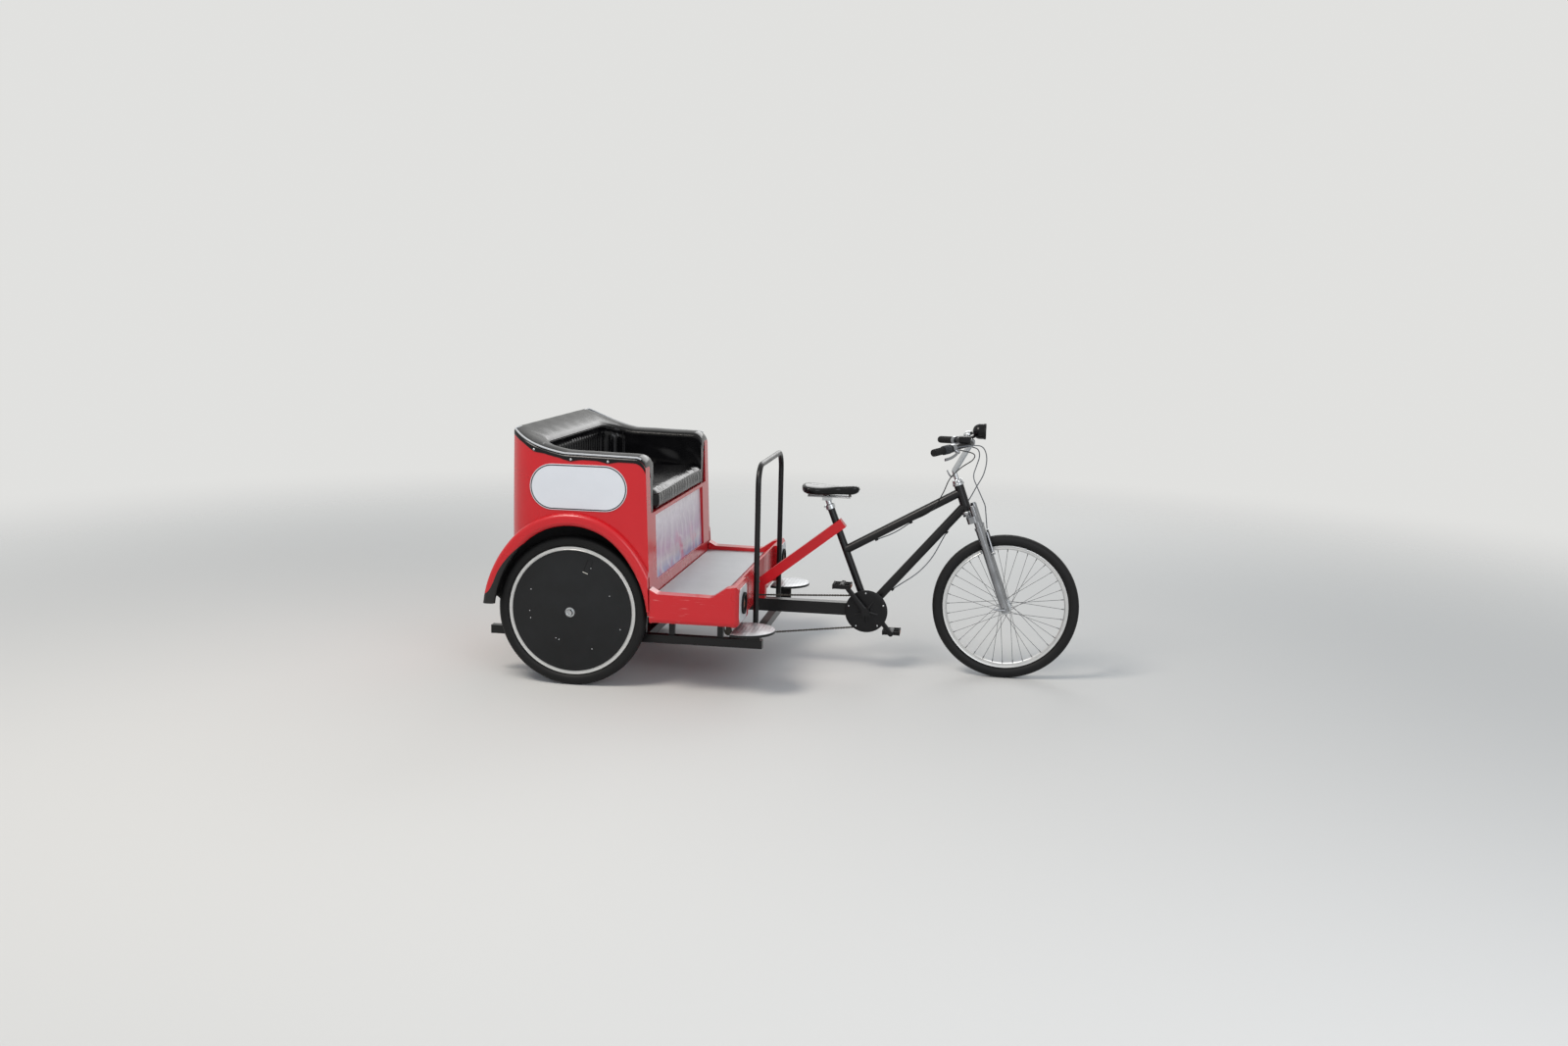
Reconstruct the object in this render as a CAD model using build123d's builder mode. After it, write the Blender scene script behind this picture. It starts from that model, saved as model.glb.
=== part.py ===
from build123d import *
import os
from math import asin, atan2, cos, degrees, hypot, radians, sin

os.makedirs("parts", exist_ok=True)

# Driving dimensions in millimetres. Heading +X, left side +Y, up +Z. The origin lies on
# the ground under the middle of the overall length, and places along X are counted from
# the rear axle, which stands at REAR_X.
WHEELBASE = 1887
TRACK = 1160
TYRE_R = 335
TYRE_W = 54
TAIL = 420
REAR_X = (TAIL - WHEELBASE - TYRE_R) / 2
FRONT_X = REAR_X + WHEELBASE
AXLE_Z = TYRE_R
RUN = 0.3
FIT = 0.1

# Rims, hubs and spokes
RIM_R = 287
RIM_DEPTH = 19
RIM_W = 32
RIM_SIDE = 17
RIM_FLOOR_W = 22
SPOKES = 36
SPOKE_D = 2.4
HUB_FLANGE_R = 29
HUB_W = 60

# Passenger tub, side view measured from the rear axle. The wheels stand outside the seat
# box and inside the tub's sides, so all widths follow the track.
SEAT_W = TRACK - 160
TUB_W = TRACK + 120
TUB_FRONT = 364
TUB_LEAN = 26
TUB_REAR = 299
TUB_REAR_LEAN = 30
TUB_LOW = 340
SIDE_TOP = 1045
BACK_TOP = 1140
BACK_CORNER_R = 170
WALL = 70
SKIN = 8
SEAT_Z = 780
BOX_LOW = 450
CAP = 20
SAG = 34
FRONT_CORNER_R = 45
WELL_T = 14
WELL_TOP = 530
WELL_MID = (TUB_LOW + WELL_TOP) / 2
PANEL_T = 4
PANEL_BACK = 14 + PANEL_T

# Wheel arch of three arcs about a vertical line just ahead of the axle
ARCH_X = REAR_X + 9
ARCH_TOP = 723
ARCH_TOP_R = 290
ARCH_SIDE_R = 480
ARCH_FOOT = 362
FLARE = 56
FLARE_OUT = TUB_W / 2 + 28

# Footwell pan
PAN_L = 393
PAN_FRONT = TUB_FRONT + PAN_L
PAN_LOW = 310
PAN_W = TUB_W + 40
PAN_CORNER_R = 25
FLOOR_Z = 420
SILL_Z = 444
LIP_Z = 492
LIP_FOOT = PAN_FRONT - 120
LIP_BACK = PAN_FRONT - 57
LIP_FRONT = PAN_FRONT - 12
TRAY_W = PAN_W - 130
MAT_T = 4
MAT_END = PAN_FRONT - 227
LIP_SET_BACK = 25
SILL_BEND_R = 30
TOE_R = 22
LIP_SET_W = PAN_W - 480
NOTCH_W = 140
NOTCH_TOP = 375
STRIP_END = PAN_FRONT - 102
KICK_LOW = FLOOR_Z - 20
KICK_TOP = FLOOR_Z + MAT_T + 50

# Underframe, boom and drive
RAIL = 38
RAIL_Y = SEAT_W / 2 - 50
RAIL_Z = 200
RAIL_FRONT = PAN_FRONT + 73
RISER = 25
BOOM_W = 50
BOOM_H = 58
BOOM_Z = 286
BOOM_BACK = 470
BB_X = REAR_X + 1250
BB_Z = 288
BB_R = 20
BB_W = 68
CRANK = 170
CRANK_ANGLE = 129
RING_R = 72.8
GUARD_R = 100
CHAIN_Y = -48
CHAIN_H = 8
CHAIN_W = 7
JACK_X = REAR_X + 600
COG_R = 44
COG2_R = 52
AXLE_COG_R = 60

# Front frame
HEAD_ANGLE = 70
HEAD_X = REAR_X + 1672
HEAD_Z = 831
HEAD_LEN = 150
HEAD_R = 22
TUBE_R = 20
DOWN_R = 21
SEAT_TUBE_R = 17
STEERER_R = 14

# Fork
LEG_Y = 65
LEG_R = 19
STANCHION_R = 15
CROWN_H = 30

# Grab hoop and steps
HOOP_X = REAR_X + PAN_FRONT + 19
HOOP_W = 650
HOOP_TOP = 990
HOOP_R = 12.5
HOOP_BEND = 85
STEP_Z = 285
STEP_T = 10
STEP_R = 130
STEP_Y = RAIL_Y + 90
STEP_X = HOOP_X - 6


def rx(distance):
    """X of a place that is measured from the rear axle."""
    return REAR_X + distance


def side_plane(y):
    """Upright plane at y, drawn with X to the right and Z up."""
    return Plane(origin=(0, y, 0), x_dir=(1, 0, 0), z_dir=(0, -1, 0))


def rod(start, end, radius, mode=Mode.ADD):
    """Round bar or bore between two points, made in the block that calls it."""
    path = Vector(*end) - Vector(*start)
    with Locations(Plane(origin=start, z_dir=path)):
        Cylinder(radius, path.length, align=(Align.CENTER, Align.CENTER, Align.MIN), mode=mode)


def save(part, name):
    part.label = name
    export_step(part, f"parts/{name}.step")


# Points on the steering axis, counted from its middle at HEAD_X, HEAD_Z. Up the tube is
# backwards.
UP_X = -cos(radians(HEAD_ANGLE))
UP_Z = sin(radians(HEAD_ANGLE))


def on_axis(along, forward=0, side=0):
    """Point at a distance up the steering axis and a distance ahead of it."""
    return (HEAD_X + along * UP_X + forward * UP_Z, side,
            HEAD_Z + along * UP_Z - forward * UP_X)


HEAD_LOW = -HEAD_LEN / 2
HEAD_HIGH = HEAD_LEN / 2
AXLE_ALONG = (FRONT_X - HEAD_X) * UP_X + (AXLE_Z - HEAD_Z) * UP_Z
RAKE = (FRONT_X - HEAD_X) * UP_Z - (AXLE_Z - HEAD_Z) * UP_X


def arch_curve(offset, foot):
    """Face under the wheel arch moved outwards by offset, down to a level line at foot."""
    top_z = ARCH_TOP - ARCH_TOP_R
    step = (ARCH_SIDE_R - ARCH_TOP_R) * cos(radians(45))
    reach = ARCH_SIDE_R + offset
    low = asin((foot - top_z + step) / reach)
    foot_x = reach * cos(low) - step
    sweep = 45 - degrees(low)
    with BuildLine() as outline:
        CenterArc((ARCH_X, top_z), ARCH_TOP_R + offset, 45, 90)
        CenterArc((ARCH_X - step, top_z - step), reach, degrees(low), sweep)
        CenterArc((ARCH_X + step, top_z - step), reach, 135, sweep)
        Line((ARCH_X - foot_x, foot), (ARCH_X + foot_x, foot))
    make_face(outline.edges())


def tub_back_x(z):
    """Place of the tub's leaning back at a height."""
    return rx(-TUB_REAR + TUB_REAR_LEAN * (z - TUB_LOW) / (BACK_TOP - TUB_LOW))


def tub_front_x(z):
    """Place of the leaning front edge of the tub's sides at a height."""
    return rx(TUB_FRONT - TUB_LEAN * (z - TUB_LOW) / (SIDE_TOP - TUB_LOW))


def tub_side(lower):
    """Side view of the tub, with its top edge lowered."""
    top = SIDE_TOP - lower
    back = BACK_TOP - lower
    with BuildLine() as outline:
        Line((tub_back_x(TUB_LOW), TUB_LOW), (tub_back_x(back), back))
        ThreePointArc((tub_back_x(back), back), (rx(-150), top + SAG), (rx(-20), top))
        FilletPolyline((rx(-20), top), (tub_front_x(top), top - 8), (rx(TUB_FRONT), TUB_LOW),
                       radius=FRONT_CORNER_R)
        Line((rx(TUB_FRONT), TUB_LOW), (tub_back_x(TUB_LOW), TUB_LOW))
    make_face(outline.edges())


def tub_plan(inset, front, corner):
    """Plan of the tub or of the space in it, with rounded corners at the back."""
    half = TUB_W / 2 - inset
    back = rx(-TUB_REAR + inset)
    with BuildLine() as outline:
        FilletPolyline((front, -half), (back, -half), (back, half), (front, half),
                       radius=corner)
        Line((front, half), (front, -half))
    make_face(outline.edges())


# Wheel arch flare with a rolled outer edge, made once for the left side
with BuildPart() as flare:
    with BuildSketch(side_plane(FLARE_OUT)):
        arch_curve(FLARE, ARCH_FOOT)
    extrude(amount=FLARE_OUT - SEAT_W / 2)
    with BuildSketch(side_plane(FLARE_OUT)):
        arch_curve(0, ARCH_FOOT)
    extrude(amount=FLARE_OUT - SEAT_W / 2, mode=Mode.SUBTRACT)
    rolled = flare.edges().group_by(Axis.Y)[-1].filter_by(GeomType.CIRCLE)
    fillet(rolled, radius=20)
    with BuildSketch(side_plane(FLARE_OUT - SKIN * 2)):
        arch_curve(FLARE - SKIN, ARCH_FOOT)
    extrude(amount=TUB_W, mode=Mode.SUBTRACT)

# Tub shell: outer form, seat space, wheel wells and the hollow under the seat
with BuildPart() as cab_shell:
    with BuildSketch(Plane.XZ):
        tub_side(CAP)
    extrude(amount=TUB_W / 2, both=True)
    with BuildSketch(Plane.XY.offset(TUB_LOW)):
        tub_plan(0, rx(TUB_FRONT), BACK_CORNER_R)
    extrude(amount=BACK_TOP - TUB_LOW, mode=Mode.INTERSECT)
    # Space for the passengers and their upholstery
    with BuildSketch(Plane.XY.offset(SEAT_Z)):
        tub_plan(WALL, rx(TUB_FRONT + 1), BACK_CORNER_R - WALL)
    extrude(amount=BACK_TOP, mode=Mode.SUBTRACT)
    # Hollow below the seat deck, open at the bottom and at the front
    with BuildSketch(Plane.XY.offset(TUB_LOW)):
        with Locations((rx(TUB_FRONT + 5), 0)):
            Rectangle(TUB_FRONT + TUB_REAR + 5 - SKIN - TUB_REAR_LEAN, SEAT_W - 2 * SKIN,
                      align=(Align.MAX, Align.CENTER))
    extrude(amount=SEAT_Z - 2 * SKIN - TUB_LOW, mode=Mode.SUBTRACT)
    with BuildSketch(Plane.XY.offset(TUB_LOW)):
        Rectangle(4 * TUB_W, SEAT_W)
    extrude(amount=BOX_LOW - TUB_LOW, mode=Mode.SUBTRACT)
    for hand in (1, -1):
        with BuildSketch(side_plane(hand * SEAT_W / 2)):
            arch_curve(FLARE - SKIN, TUB_LOW)
        extrude(amount=-hand * (FLARE_OUT - SKIN * 2 - SEAT_W / 2), mode=Mode.SUBTRACT)
        with BuildSketch(side_plane(hand * SEAT_W / 2)):
            arch_curve(0, TUB_LOW)
        extrude(amount=-hand * TUB_W, mode=Mode.SUBTRACT)
    add(flare.part)
    add(mirror(flare.part, about=Plane.XZ, mode=Mode.PRIVATE))
    # Front wall of each wheel well, and the kick board below the seat's front panel
    for hand in (1, -1):
        with Locations((rx(TUB_FRONT) - WELL_T / 2, hand * (TUB_W + SEAT_W) / 4 - hand * SKIN / 2, WELL_MID)):
            Box(WELL_T, (TUB_W - SEAT_W) / 2 - SKIN, WELL_TOP - TUB_LOW)
    with Locations((rx(TUB_FRONT) - SKIN / 2, 0, (KICK_LOW + KICK_TOP) / 2)):
        Box(SKIN, SEAT_W, KICK_TOP - KICK_LOW)
    with Locations((rx(TUB_FRONT) - PANEL_BACK / 2, 0, KICK_TOP - SKIN / 2)):
        Box(PANEL_BACK, SEAT_W - SKIN, SKIN)
    # The flare is trimmed flush with the front edge of the side
    with BuildSketch(Plane.XZ):
        with BuildLine():
            Polyline((tub_front_x(SEAT_Z), SEAT_Z), (rx(TUB_FRONT), TUB_LOW), (rx(TUB_FRONT), 0),
                     (rx(TUB_FRONT + 300), 0), (rx(TUB_FRONT + 300), SEAT_Z), close=True)
        make_face()
    extrude(amount=TUB_W, both=True, mode=Mode.SUBTRACT)
save(cab_shell.part, "cab_shell")

# Footwell pan: sills, raised front lip, floor, and a hollow underside
PAN_BACK = rx(TUB_FRONT) + RUN
with BuildPart() as floor_pan:
    with BuildSketch(Plane.XZ):
        with BuildLine():
            Polyline((PAN_BACK, PAN_LOW), (PAN_BACK, SILL_Z + 20), (rx(TUB_FRONT + 36), SILL_Z),
                     (rx(LIP_FOOT), SILL_Z - 4), (rx(LIP_BACK), LIP_Z - 8), (rx(LIP_FRONT), LIP_Z),
                     (rx(PAN_FRONT), LIP_Z - 14), (rx(PAN_FRONT), PAN_LOW), close=True)
        make_face()
    extrude(amount=PAN_W / 2, both=True)
    sill_bends = floor_pan.edges().filter_by(Axis.Y).filter_by(
        lambda e: PAN_BACK + 1 < e.center().X < rx(LIP_FRONT - 10) and e.center().Z > PAN_LOW + 1)
    fillet(sill_bends, radius=SILL_BEND_R)
    toe = floor_pan.edges().filter_by(Axis.Y).filter_by(
        lambda e: e.center().X > rx(PAN_FRONT) - 1 and e.center().Z < PAN_LOW + 1)
    fillet(toe, radius=TOE_R)
    corners = floor_pan.edges().filter_by(Axis.Z).group_by(Axis.X)[-1]
    fillet(corners, radius=PAN_CORNER_R)
    with BuildSketch(Plane.XZ):
        with BuildLine():
            Polyline((PAN_BACK, FLOOR_Z), (rx(STRIP_END), FLOOR_Z), (rx(LIP_FRONT - 10), LIP_Z + 5),
                     (PAN_BACK, LIP_Z + 5), close=True)
        make_face()
    extrude(amount=TRAY_W / 2, both=True, mode=Mode.SUBTRACT)
    with BuildSketch(Plane.XY.offset(PAN_LOW)):
        with Locations(((PAN_BACK + rx(PAN_FRONT - LIP_SET_BACK)) / 2, 0)):
            Rectangle(rx(PAN_FRONT - LIP_SET_BACK) - PAN_BACK - 2 * SKIN, PAN_W - 2 * SKIN)
    extrude(amount=FLOOR_Z - SKIN - PAN_LOW, mode=Mode.SUBTRACT)
    # Notch for the boom and the foot of the red stay
    with BuildSketch(Plane.XY.offset(PAN_LOW)):
        with Locations((rx((TUB_FRONT + PAN_FRONT) / 2), 0)):
            Rectangle(PAN_FRONT - TUB_FRONT + 20, NOTCH_W)
    extrude(amount=NOTCH_TOP - PAN_LOW, mode=Mode.SUBTRACT)
    # The lip stands back between the two lamp pods
    with BuildSketch(Plane.XY.offset(PAN_LOW)):
        with Locations((rx(PAN_FRONT), 0)):
            Rectangle(2 * LIP_SET_BACK, LIP_SET_W)
    extrude(amount=LIP_Z, mode=Mode.SUBTRACT)
save(floor_pan.part, "floor_pan")

with BuildPart() as floor_mat:
    with BuildSketch(Plane.XY.offset(FLOOR_Z)):
        with Locations(((PAN_BACK + rx(MAT_END)) / 2, 0)):
            Rectangle(rx(MAT_END) - PAN_BACK - 2 * RUN, TRAY_W - 4)
    extrude(amount=MAT_T)
save(floor_mat.part, "floor_mat")

with BuildPart() as tread_strip:
    with BuildSketch(Plane.XY.offset(FLOOR_Z)):
        with Locations((rx((MAT_END + STRIP_END) / 2), 0)):
            Rectangle(STRIP_END - MAT_END - 2 * RUN, TRAY_W - 4)
    extrude(amount=MAT_T)
save(tread_strip.part, "tread_strip")

# Panel that closes the seat box at the front
PANEL_LOW = KICK_TOP + RUN
PANEL_W = SEAT_W - 2 * SKIN - 2 * RUN
PANEL_LEAN = 16
PANEL_X = rx(TUB_FRONT) - PANEL_BACK
PANEL_TOP = SEAT_Z - 2 * SKIN - RUN
with BuildPart() as seat_front_panel:
    with BuildSketch(side_plane(PANEL_W / 2)):
        with BuildLine():
            Polyline((PANEL_X + PANEL_T, PANEL_LOW), (PANEL_X, PANEL_LOW), (PANEL_X - PANEL_LEAN, PANEL_TOP),
                     (PANEL_X + PANEL_T - PANEL_LEAN, PANEL_TOP), close=True)
        make_face()
    extrude(amount=PANEL_W)
save(seat_front_panel.part, "seat_front_panel")

# Upholstery: the back with its rounded corners, and the two sides, each with a cap
# that covers the top of the shell
PAD = 70
PAD_SPLIT = rx(-70)
SIDE_PAD_LOW = SEAT_Z + RUN


with BuildPart() as lining:
    with BuildSketch(Plane.XZ):
        tub_side(0)
    extrude(amount=TUB_W / 2, both=True)
    with BuildSketch(Plane.XY.offset(SIDE_PAD_LOW)):
        tub_plan(0, rx(TUB_FRONT), BACK_CORNER_R)
    extrude(amount=BACK_TOP - SIDE_PAD_LOW, mode=Mode.INTERSECT)
    with BuildSketch(Plane.XY.offset(SIDE_PAD_LOW)):
        tub_plan(WALL + PAD, rx(TUB_FRONT + 1), BACK_CORNER_R - WALL)
    extrude(amount=BACK_TOP, mode=Mode.SUBTRACT)

with BuildPart() as shell_room:
    with BuildSketch(Plane.XZ):
        tub_side(CAP - RUN)
    extrude(amount=TUB_W / 2, both=True)
    with BuildSketch(Plane.XY):
        tub_plan(WALL + RUN, rx(TUB_FRONT + 1), BACK_CORNER_R - WALL)
    extrude(amount=2 * BACK_TOP, mode=Mode.SUBTRACT)

with BuildPart() as upholstered:
    add(lining.part)
    add(shell_room.part, mode=Mode.SUBTRACT)

with BuildPart() as back_pad:
    add(upholstered.part)
    with BuildSketch(Plane.XY):
        with Locations((PAD_SPLIT + TUB_W, 0)):
            Rectangle(2 * TUB_W, 2 * TUB_W)
    extrude(amount=2 * BACK_TOP, mode=Mode.SUBTRACT)
save(back_pad.part, "back_pad")

for name, hand in (("side_pad_left", 1), ("side_pad_right", -1)):
    with BuildPart() as side_pad:
        add(upholstered.part)
        with BuildSketch(Plane.XY):
            with Locations((PAD_SPLIT + RUN + TUB_W, hand * TUB_W)):
                Rectangle(2 * TUB_W, 2 * TUB_W)
        extrude(amount=2 * BACK_TOP, mode=Mode.INTERSECT)
    save(side_pad.part, name)

# Seat cushion between the side pads
CUSHION_T = 90
CUSHION_FRONT = rx(TUB_FRONT + 6)
with BuildPart() as seat_cushion:
    with BuildSketch(Plane.XY.offset(SEAT_Z + RUN)):
        tub_plan(WALL + PAD + RUN, CUSHION_FRONT, BACK_CORNER_R - WALL)
    extrude(amount=CUSHION_T)
    fillet(seat_cushion.edges().filter_by(Axis.Z).group_by(Axis.X)[-1], radius=30)
    fillet(seat_cushion.edges().group_by(Axis.Z)[-1], radius=25)
save(seat_cushion.part, "seat_cushion")

# Blank oblong sign plate on each side
SIGN_L = 433
SIGN_H = 200
SIGN_T = 3
SIGN_X = rx(42)
SIGN_Z = 890
with BuildPart() as side_signs:
    for hand in (1, -1):
        with BuildSketch(side_plane(hand * TUB_W / 2)):
            with Locations((SIGN_X, SIGN_Z)):
                SlotOverall(SIGN_L, SIGN_H)
        extrude(amount=-hand * SIGN_T)
save(side_signs.part, "side_signs")

# Front lamps: plate, rubber grommet and lens on each corner of the pan
LAMP_Y = PAN_W / 2 - 104
LAMP_Z = 405
LAMP_R = 48
LENS_R = 36
PLATE_W = 170
PLATE_H = 150
PLATE_T = 3
lamp_plane = Plane(origin=(rx(PAN_FRONT), 0, 0), x_dir=(0, 1, 0), z_dir=(1, 0, 0))
LAMP_SPOTS = [(LAMP_Y, LAMP_Z), (-LAMP_Y, LAMP_Z)]
with BuildPart() as lamp_plates:
    with BuildSketch(lamp_plane):
        with Locations(LAMP_SPOTS):
            RectangleRounded(PLATE_W, PLATE_H, 30)
            Circle(LAMP_R, mode=Mode.SUBTRACT)
    extrude(amount=PLATE_T)
save(lamp_plates.part, "lamp_plates")

with BuildPart() as lamp_grommets:
    with BuildSketch(lamp_plane):
        with Locations(LAMP_SPOTS):
            Circle(LAMP_R - RUN)
            Circle(LENS_R + RUN, mode=Mode.SUBTRACT)
    extrude(amount=PLATE_T + 9)
save(lamp_grommets.part, "lamp_grommets")

with BuildPart() as lamp_lenses:
    with BuildSketch(lamp_plane):
        with Locations(LAMP_SPOTS):
            Circle(LENS_R)
    extrude(amount=PLATE_T + 6)
save(lamp_lenses.part, "lamp_lenses")

# Underframe: two long rails, crossmembers, seat and floor risers, axle hangers
RAIL_TOP = RAIL_Z + RAIL / 2
CROSS_SPOTS = [rx(-210), rx(290), HOOP_X]
HANGER_W = 60
AXLE_TUBE_R = 22
FLOOR_UNDER = FLOOR_Z - SKIN
with BuildPart() as underframe:
    with Locations(*[(rx((RAIL_FRONT - TAIL) / 2), hand * RAIL_Y, RAIL_Z) for hand in (1, -1)]):
        Box(RAIL_FRONT + TAIL, RAIL, RAIL)
    with Locations(*[(x, 0, RAIL_Z) for x in CROSS_SPOTS]):
        Box(RAIL, 2 * RAIL_Y, RAIL)
    # Floor crossmembers on risers, under the pan
    for x in (rx(420), rx(640)):
        with Locations((x, 0, FLOOR_UNDER - RISER / 2)):
            Box(RISER, 2 * RAIL_Y + RISER, RISER)
        with Locations(*[(x, hand * RAIL_Y, (RAIL_TOP + FLOOR_UNDER) / 2) for hand in (1, -1)]):
            Box(RISER, RISER, FLOOR_UNDER - RAIL_TOP)
    # Seat posts up to the deck
    DECK_UNDER = SEAT_Z - 2 * SKIN
    for x in (rx(-210), rx(290)):
        with Locations(*[(x, hand * RAIL_Y, (RAIL_TOP + DECK_UNDER) / 2) for hand in (1, -1)]):
            Box(RISER, RISER, DECK_UNDER - RAIL_TOP)
        with Locations((x, 0, DECK_UNDER - RISER / 2)):
            Box(RISER, 2 * RAIL_Y + RISER, RISER)
    # Axle hangers
    with Locations(*[(REAR_X, hand * RAIL_Y, (RAIL_TOP + AXLE_Z + 40) / 2) for hand in (1, -1)]):
        Box(HANGER_W, 12, AXLE_Z + 40 - RAIL_TOP)
    rod((REAR_X, -RAIL_Y - RAIL, AXLE_Z), (REAR_X, RAIL_Y + RAIL, AXLE_Z), AXLE_TUBE_R,
        Mode.SUBTRACT)
save(underframe.part, "underframe")

# Rear axle housing with flanged bearings, through the hangers
AXLE_END = TRACK / 2 - HUB_W
SHAFT_R = 12.5
BORE_DEPTH = 90
with BuildPart() as axle_housing:
    rod((REAR_X, -AXLE_END, AXLE_Z), (REAR_X, AXLE_END, AXLE_Z), AXLE_TUBE_R)
    for hand in (1, -1):
        rod((REAR_X, hand * (AXLE_END - 14), AXLE_Z), (REAR_X, hand * AXLE_END, AXLE_Z), 34)
        rod((REAR_X, hand * (AXLE_END - BORE_DEPTH), AXLE_Z),
            (REAR_X, hand * (AXLE_END + 1), AXLE_Z), SHAFT_R + FIT, Mode.SUBTRACT)
save(axle_housing.part, "axle_housing")

# Drive under the floor: jackshaft on the boom, its cogs, and the axle's cog. The chains
# lie on their pitch circles, and the discs end just inside them.
DRIVE_Y = -CHAIN_Y
COG_T = 4
INSIDE = CHAIN_H / 2 + RUN
PULLEY_Z = 155
PULLEY_R = 20
JACK_Z = BOOM_Z
FRONT_LOOP = [(JACK_X, JACK_Z, COG_R), (BB_X, BB_Z, RING_R), (JACK_X, PULLEY_Z, PULLEY_R)]
REAR_LOOP = [(REAR_X, AXLE_Z, AXLE_COG_R), (JACK_X, JACK_Z, COG2_R)]
for name, loop, middle_y in (("drive_chain", FRONT_LOOP, CHAIN_Y), ("axle_chain", REAR_LOOP, DRIVE_Y)):
    with BuildPart() as chain:
        with BuildSketch(side_plane(middle_y + CHAIN_W / 2)):
            for x, z, r in loop:
                with Locations((x, z)):
                    Circle(r + CHAIN_H / 2)
            make_hull()
        extrude(amount=CHAIN_W)
        with BuildSketch(side_plane(middle_y + CHAIN_W / 2)):
            for x, z, r in loop:
                with Locations((x, z)):
                    Circle(r - CHAIN_H / 2)
            make_hull()
        extrude(amount=CHAIN_W, mode=Mode.SUBTRACT)
    save(chain.part, name)

SHAFT_END = DRIVE_Y + 14
with BuildPart() as jackshaft:
    rod((JACK_X, -SHAFT_END, JACK_Z), (JACK_X, -BOOM_W / 2 - RUN, JACK_Z), 10)
    rod((JACK_X, BOOM_W / 2 + RUN, JACK_Z), (JACK_X, SHAFT_END, JACK_Z), 10)
    for hand, radius in ((-1, COG_R), (1, COG2_R)):
        y = hand * DRIVE_Y
        rod((JACK_X, y - COG_T / 2, JACK_Z), (JACK_X, y + COG_T / 2, JACK_Z), radius - INSIDE)
save(jackshaft.part, "jackshaft")

with BuildPart() as axle_cog:
    rod((REAR_X, DRIVE_Y - COG_T / 2, AXLE_Z), (REAR_X, DRIVE_Y + COG_T / 2, AXLE_Z),
        AXLE_COG_R - INSIDE)
    rod((REAR_X, DRIVE_Y - 22, AXLE_Z), (REAR_X, DRIVE_Y + 22, AXLE_Z), 34)
    rod((REAR_X, DRIVE_Y - 30, AXLE_Z), (REAR_X, DRIVE_Y + 30, AXLE_Z), AXLE_TUBE_R,
        Mode.SUBTRACT)
save(axle_cog.part, "axle_cog")

# Chain tensioner that hangs from the boom: bracket, pivot, and a cage of two plates with a
# small pulley inside the chain
CAGE_T = 2
CAGE_Y = CHAIN_W / 2 + 0.5
CAGE_TOP_Z = 222
CAGE_R = 13
BRACKET_L = 18
BRACKET_W = 14
BRACKET_H = BOOM_Z - BOOM_H / 2 - CAGE_TOP_Z + 7
with BuildPart() as chain_tensioner:
    with Locations((JACK_X, -BOOM_W / 2 + BRACKET_W / 2 - 3, BOOM_Z - BOOM_H / 2)):
        Box(BRACKET_L, BRACKET_W, BRACKET_H, align=(Align.CENTER, Align.CENTER, Align.MAX))
    rod((JACK_X, -BOOM_W / 2, CAGE_TOP_Z), (JACK_X, CHAIN_Y - CAGE_Y - CAGE_T, CAGE_TOP_Z), 7)
    for face in (CHAIN_Y + CAGE_Y + CAGE_T, CHAIN_Y - CAGE_Y):
        with BuildSketch(side_plane(face)):
            with Locations((JACK_X, CAGE_TOP_Z), (JACK_X, PULLEY_Z)):
                Circle(CAGE_R)
            make_hull()
        extrude(amount=CAGE_T)
    rod((JACK_X, CHAIN_Y - CAGE_Y, PULLEY_Z), (JACK_X, CHAIN_Y + CAGE_Y, PULLEY_Z), 4)
    rod((JACK_X, CHAIN_Y - COG_T / 2, PULLEY_Z), (JACK_X, CHAIN_Y + COG_T / 2, PULLEY_Z), PULLEY_R - INSIDE)
save(chain_tensioner.part, "chain_tensioner")

# Boom with the bottom bracket shell at its front end
BOOM_FRONT = BB_X - BB_R + 4
with BuildPart() as boom:
    with Locations(((rx(BOOM_BACK) + BOOM_FRONT) / 2, 0, BOOM_Z)):
        Box(BOOM_FRONT - rx(BOOM_BACK), BOOM_W, BOOM_H)
    rod((BB_X, -BB_W / 2, BB_Z), (BB_X, BB_W / 2, BB_Z), BB_R)
    rod((BB_X, -BB_W, BB_Z), (BB_X, BB_W, BB_Z), SHAFT_R + FIT, Mode.SUBTRACT)
save(boom.part, "boom")

# Front frame: head tube, seat tube, top tube, down tube and the red diagonal stay. The
# sloping tubes carry cable stops below, at these distances from their rear ends.
STOP_R = 5
STOP_L = 14
STOP_SUNK = 2
CABLE_R = 2.5
TOP_STOPS = (150, 330)
DOWN_STOPS = (150, 520)
BB_SPOT = Vector(BB_X, 0, BB_Z)


def below(direction):
    """Direction square to a sloping tube, downwards in the side view."""
    return Vector(direction.Z, 0, -direction.X)


def cable_stop(start, direction, places, tube_r):
    """Small sleeves along the underside of a tube, sunk a little into it."""
    for place in places:
        spot = start + direction * place + below(direction) * (tube_r + STOP_R - STOP_SUNK)
        rod(spot - direction * (STOP_L / 2), spot + direction * (STOP_L / 2), STOP_R)


SEAT_TOP = (rx(1058), 0, 775)
SEAT_FOOT = (BB_X - 10, 0, BB_Z + BB_R)
with BuildPart() as head_tube:
    rod(on_axis(HEAD_LOW), on_axis(HEAD_HIGH), HEAD_R)
    rod(on_axis(HEAD_LOW - 5), on_axis(HEAD_HIGH + 5), STEERER_R + FIT, Mode.SUBTRACT)
save(head_tube.part, "head_tube")

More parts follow.
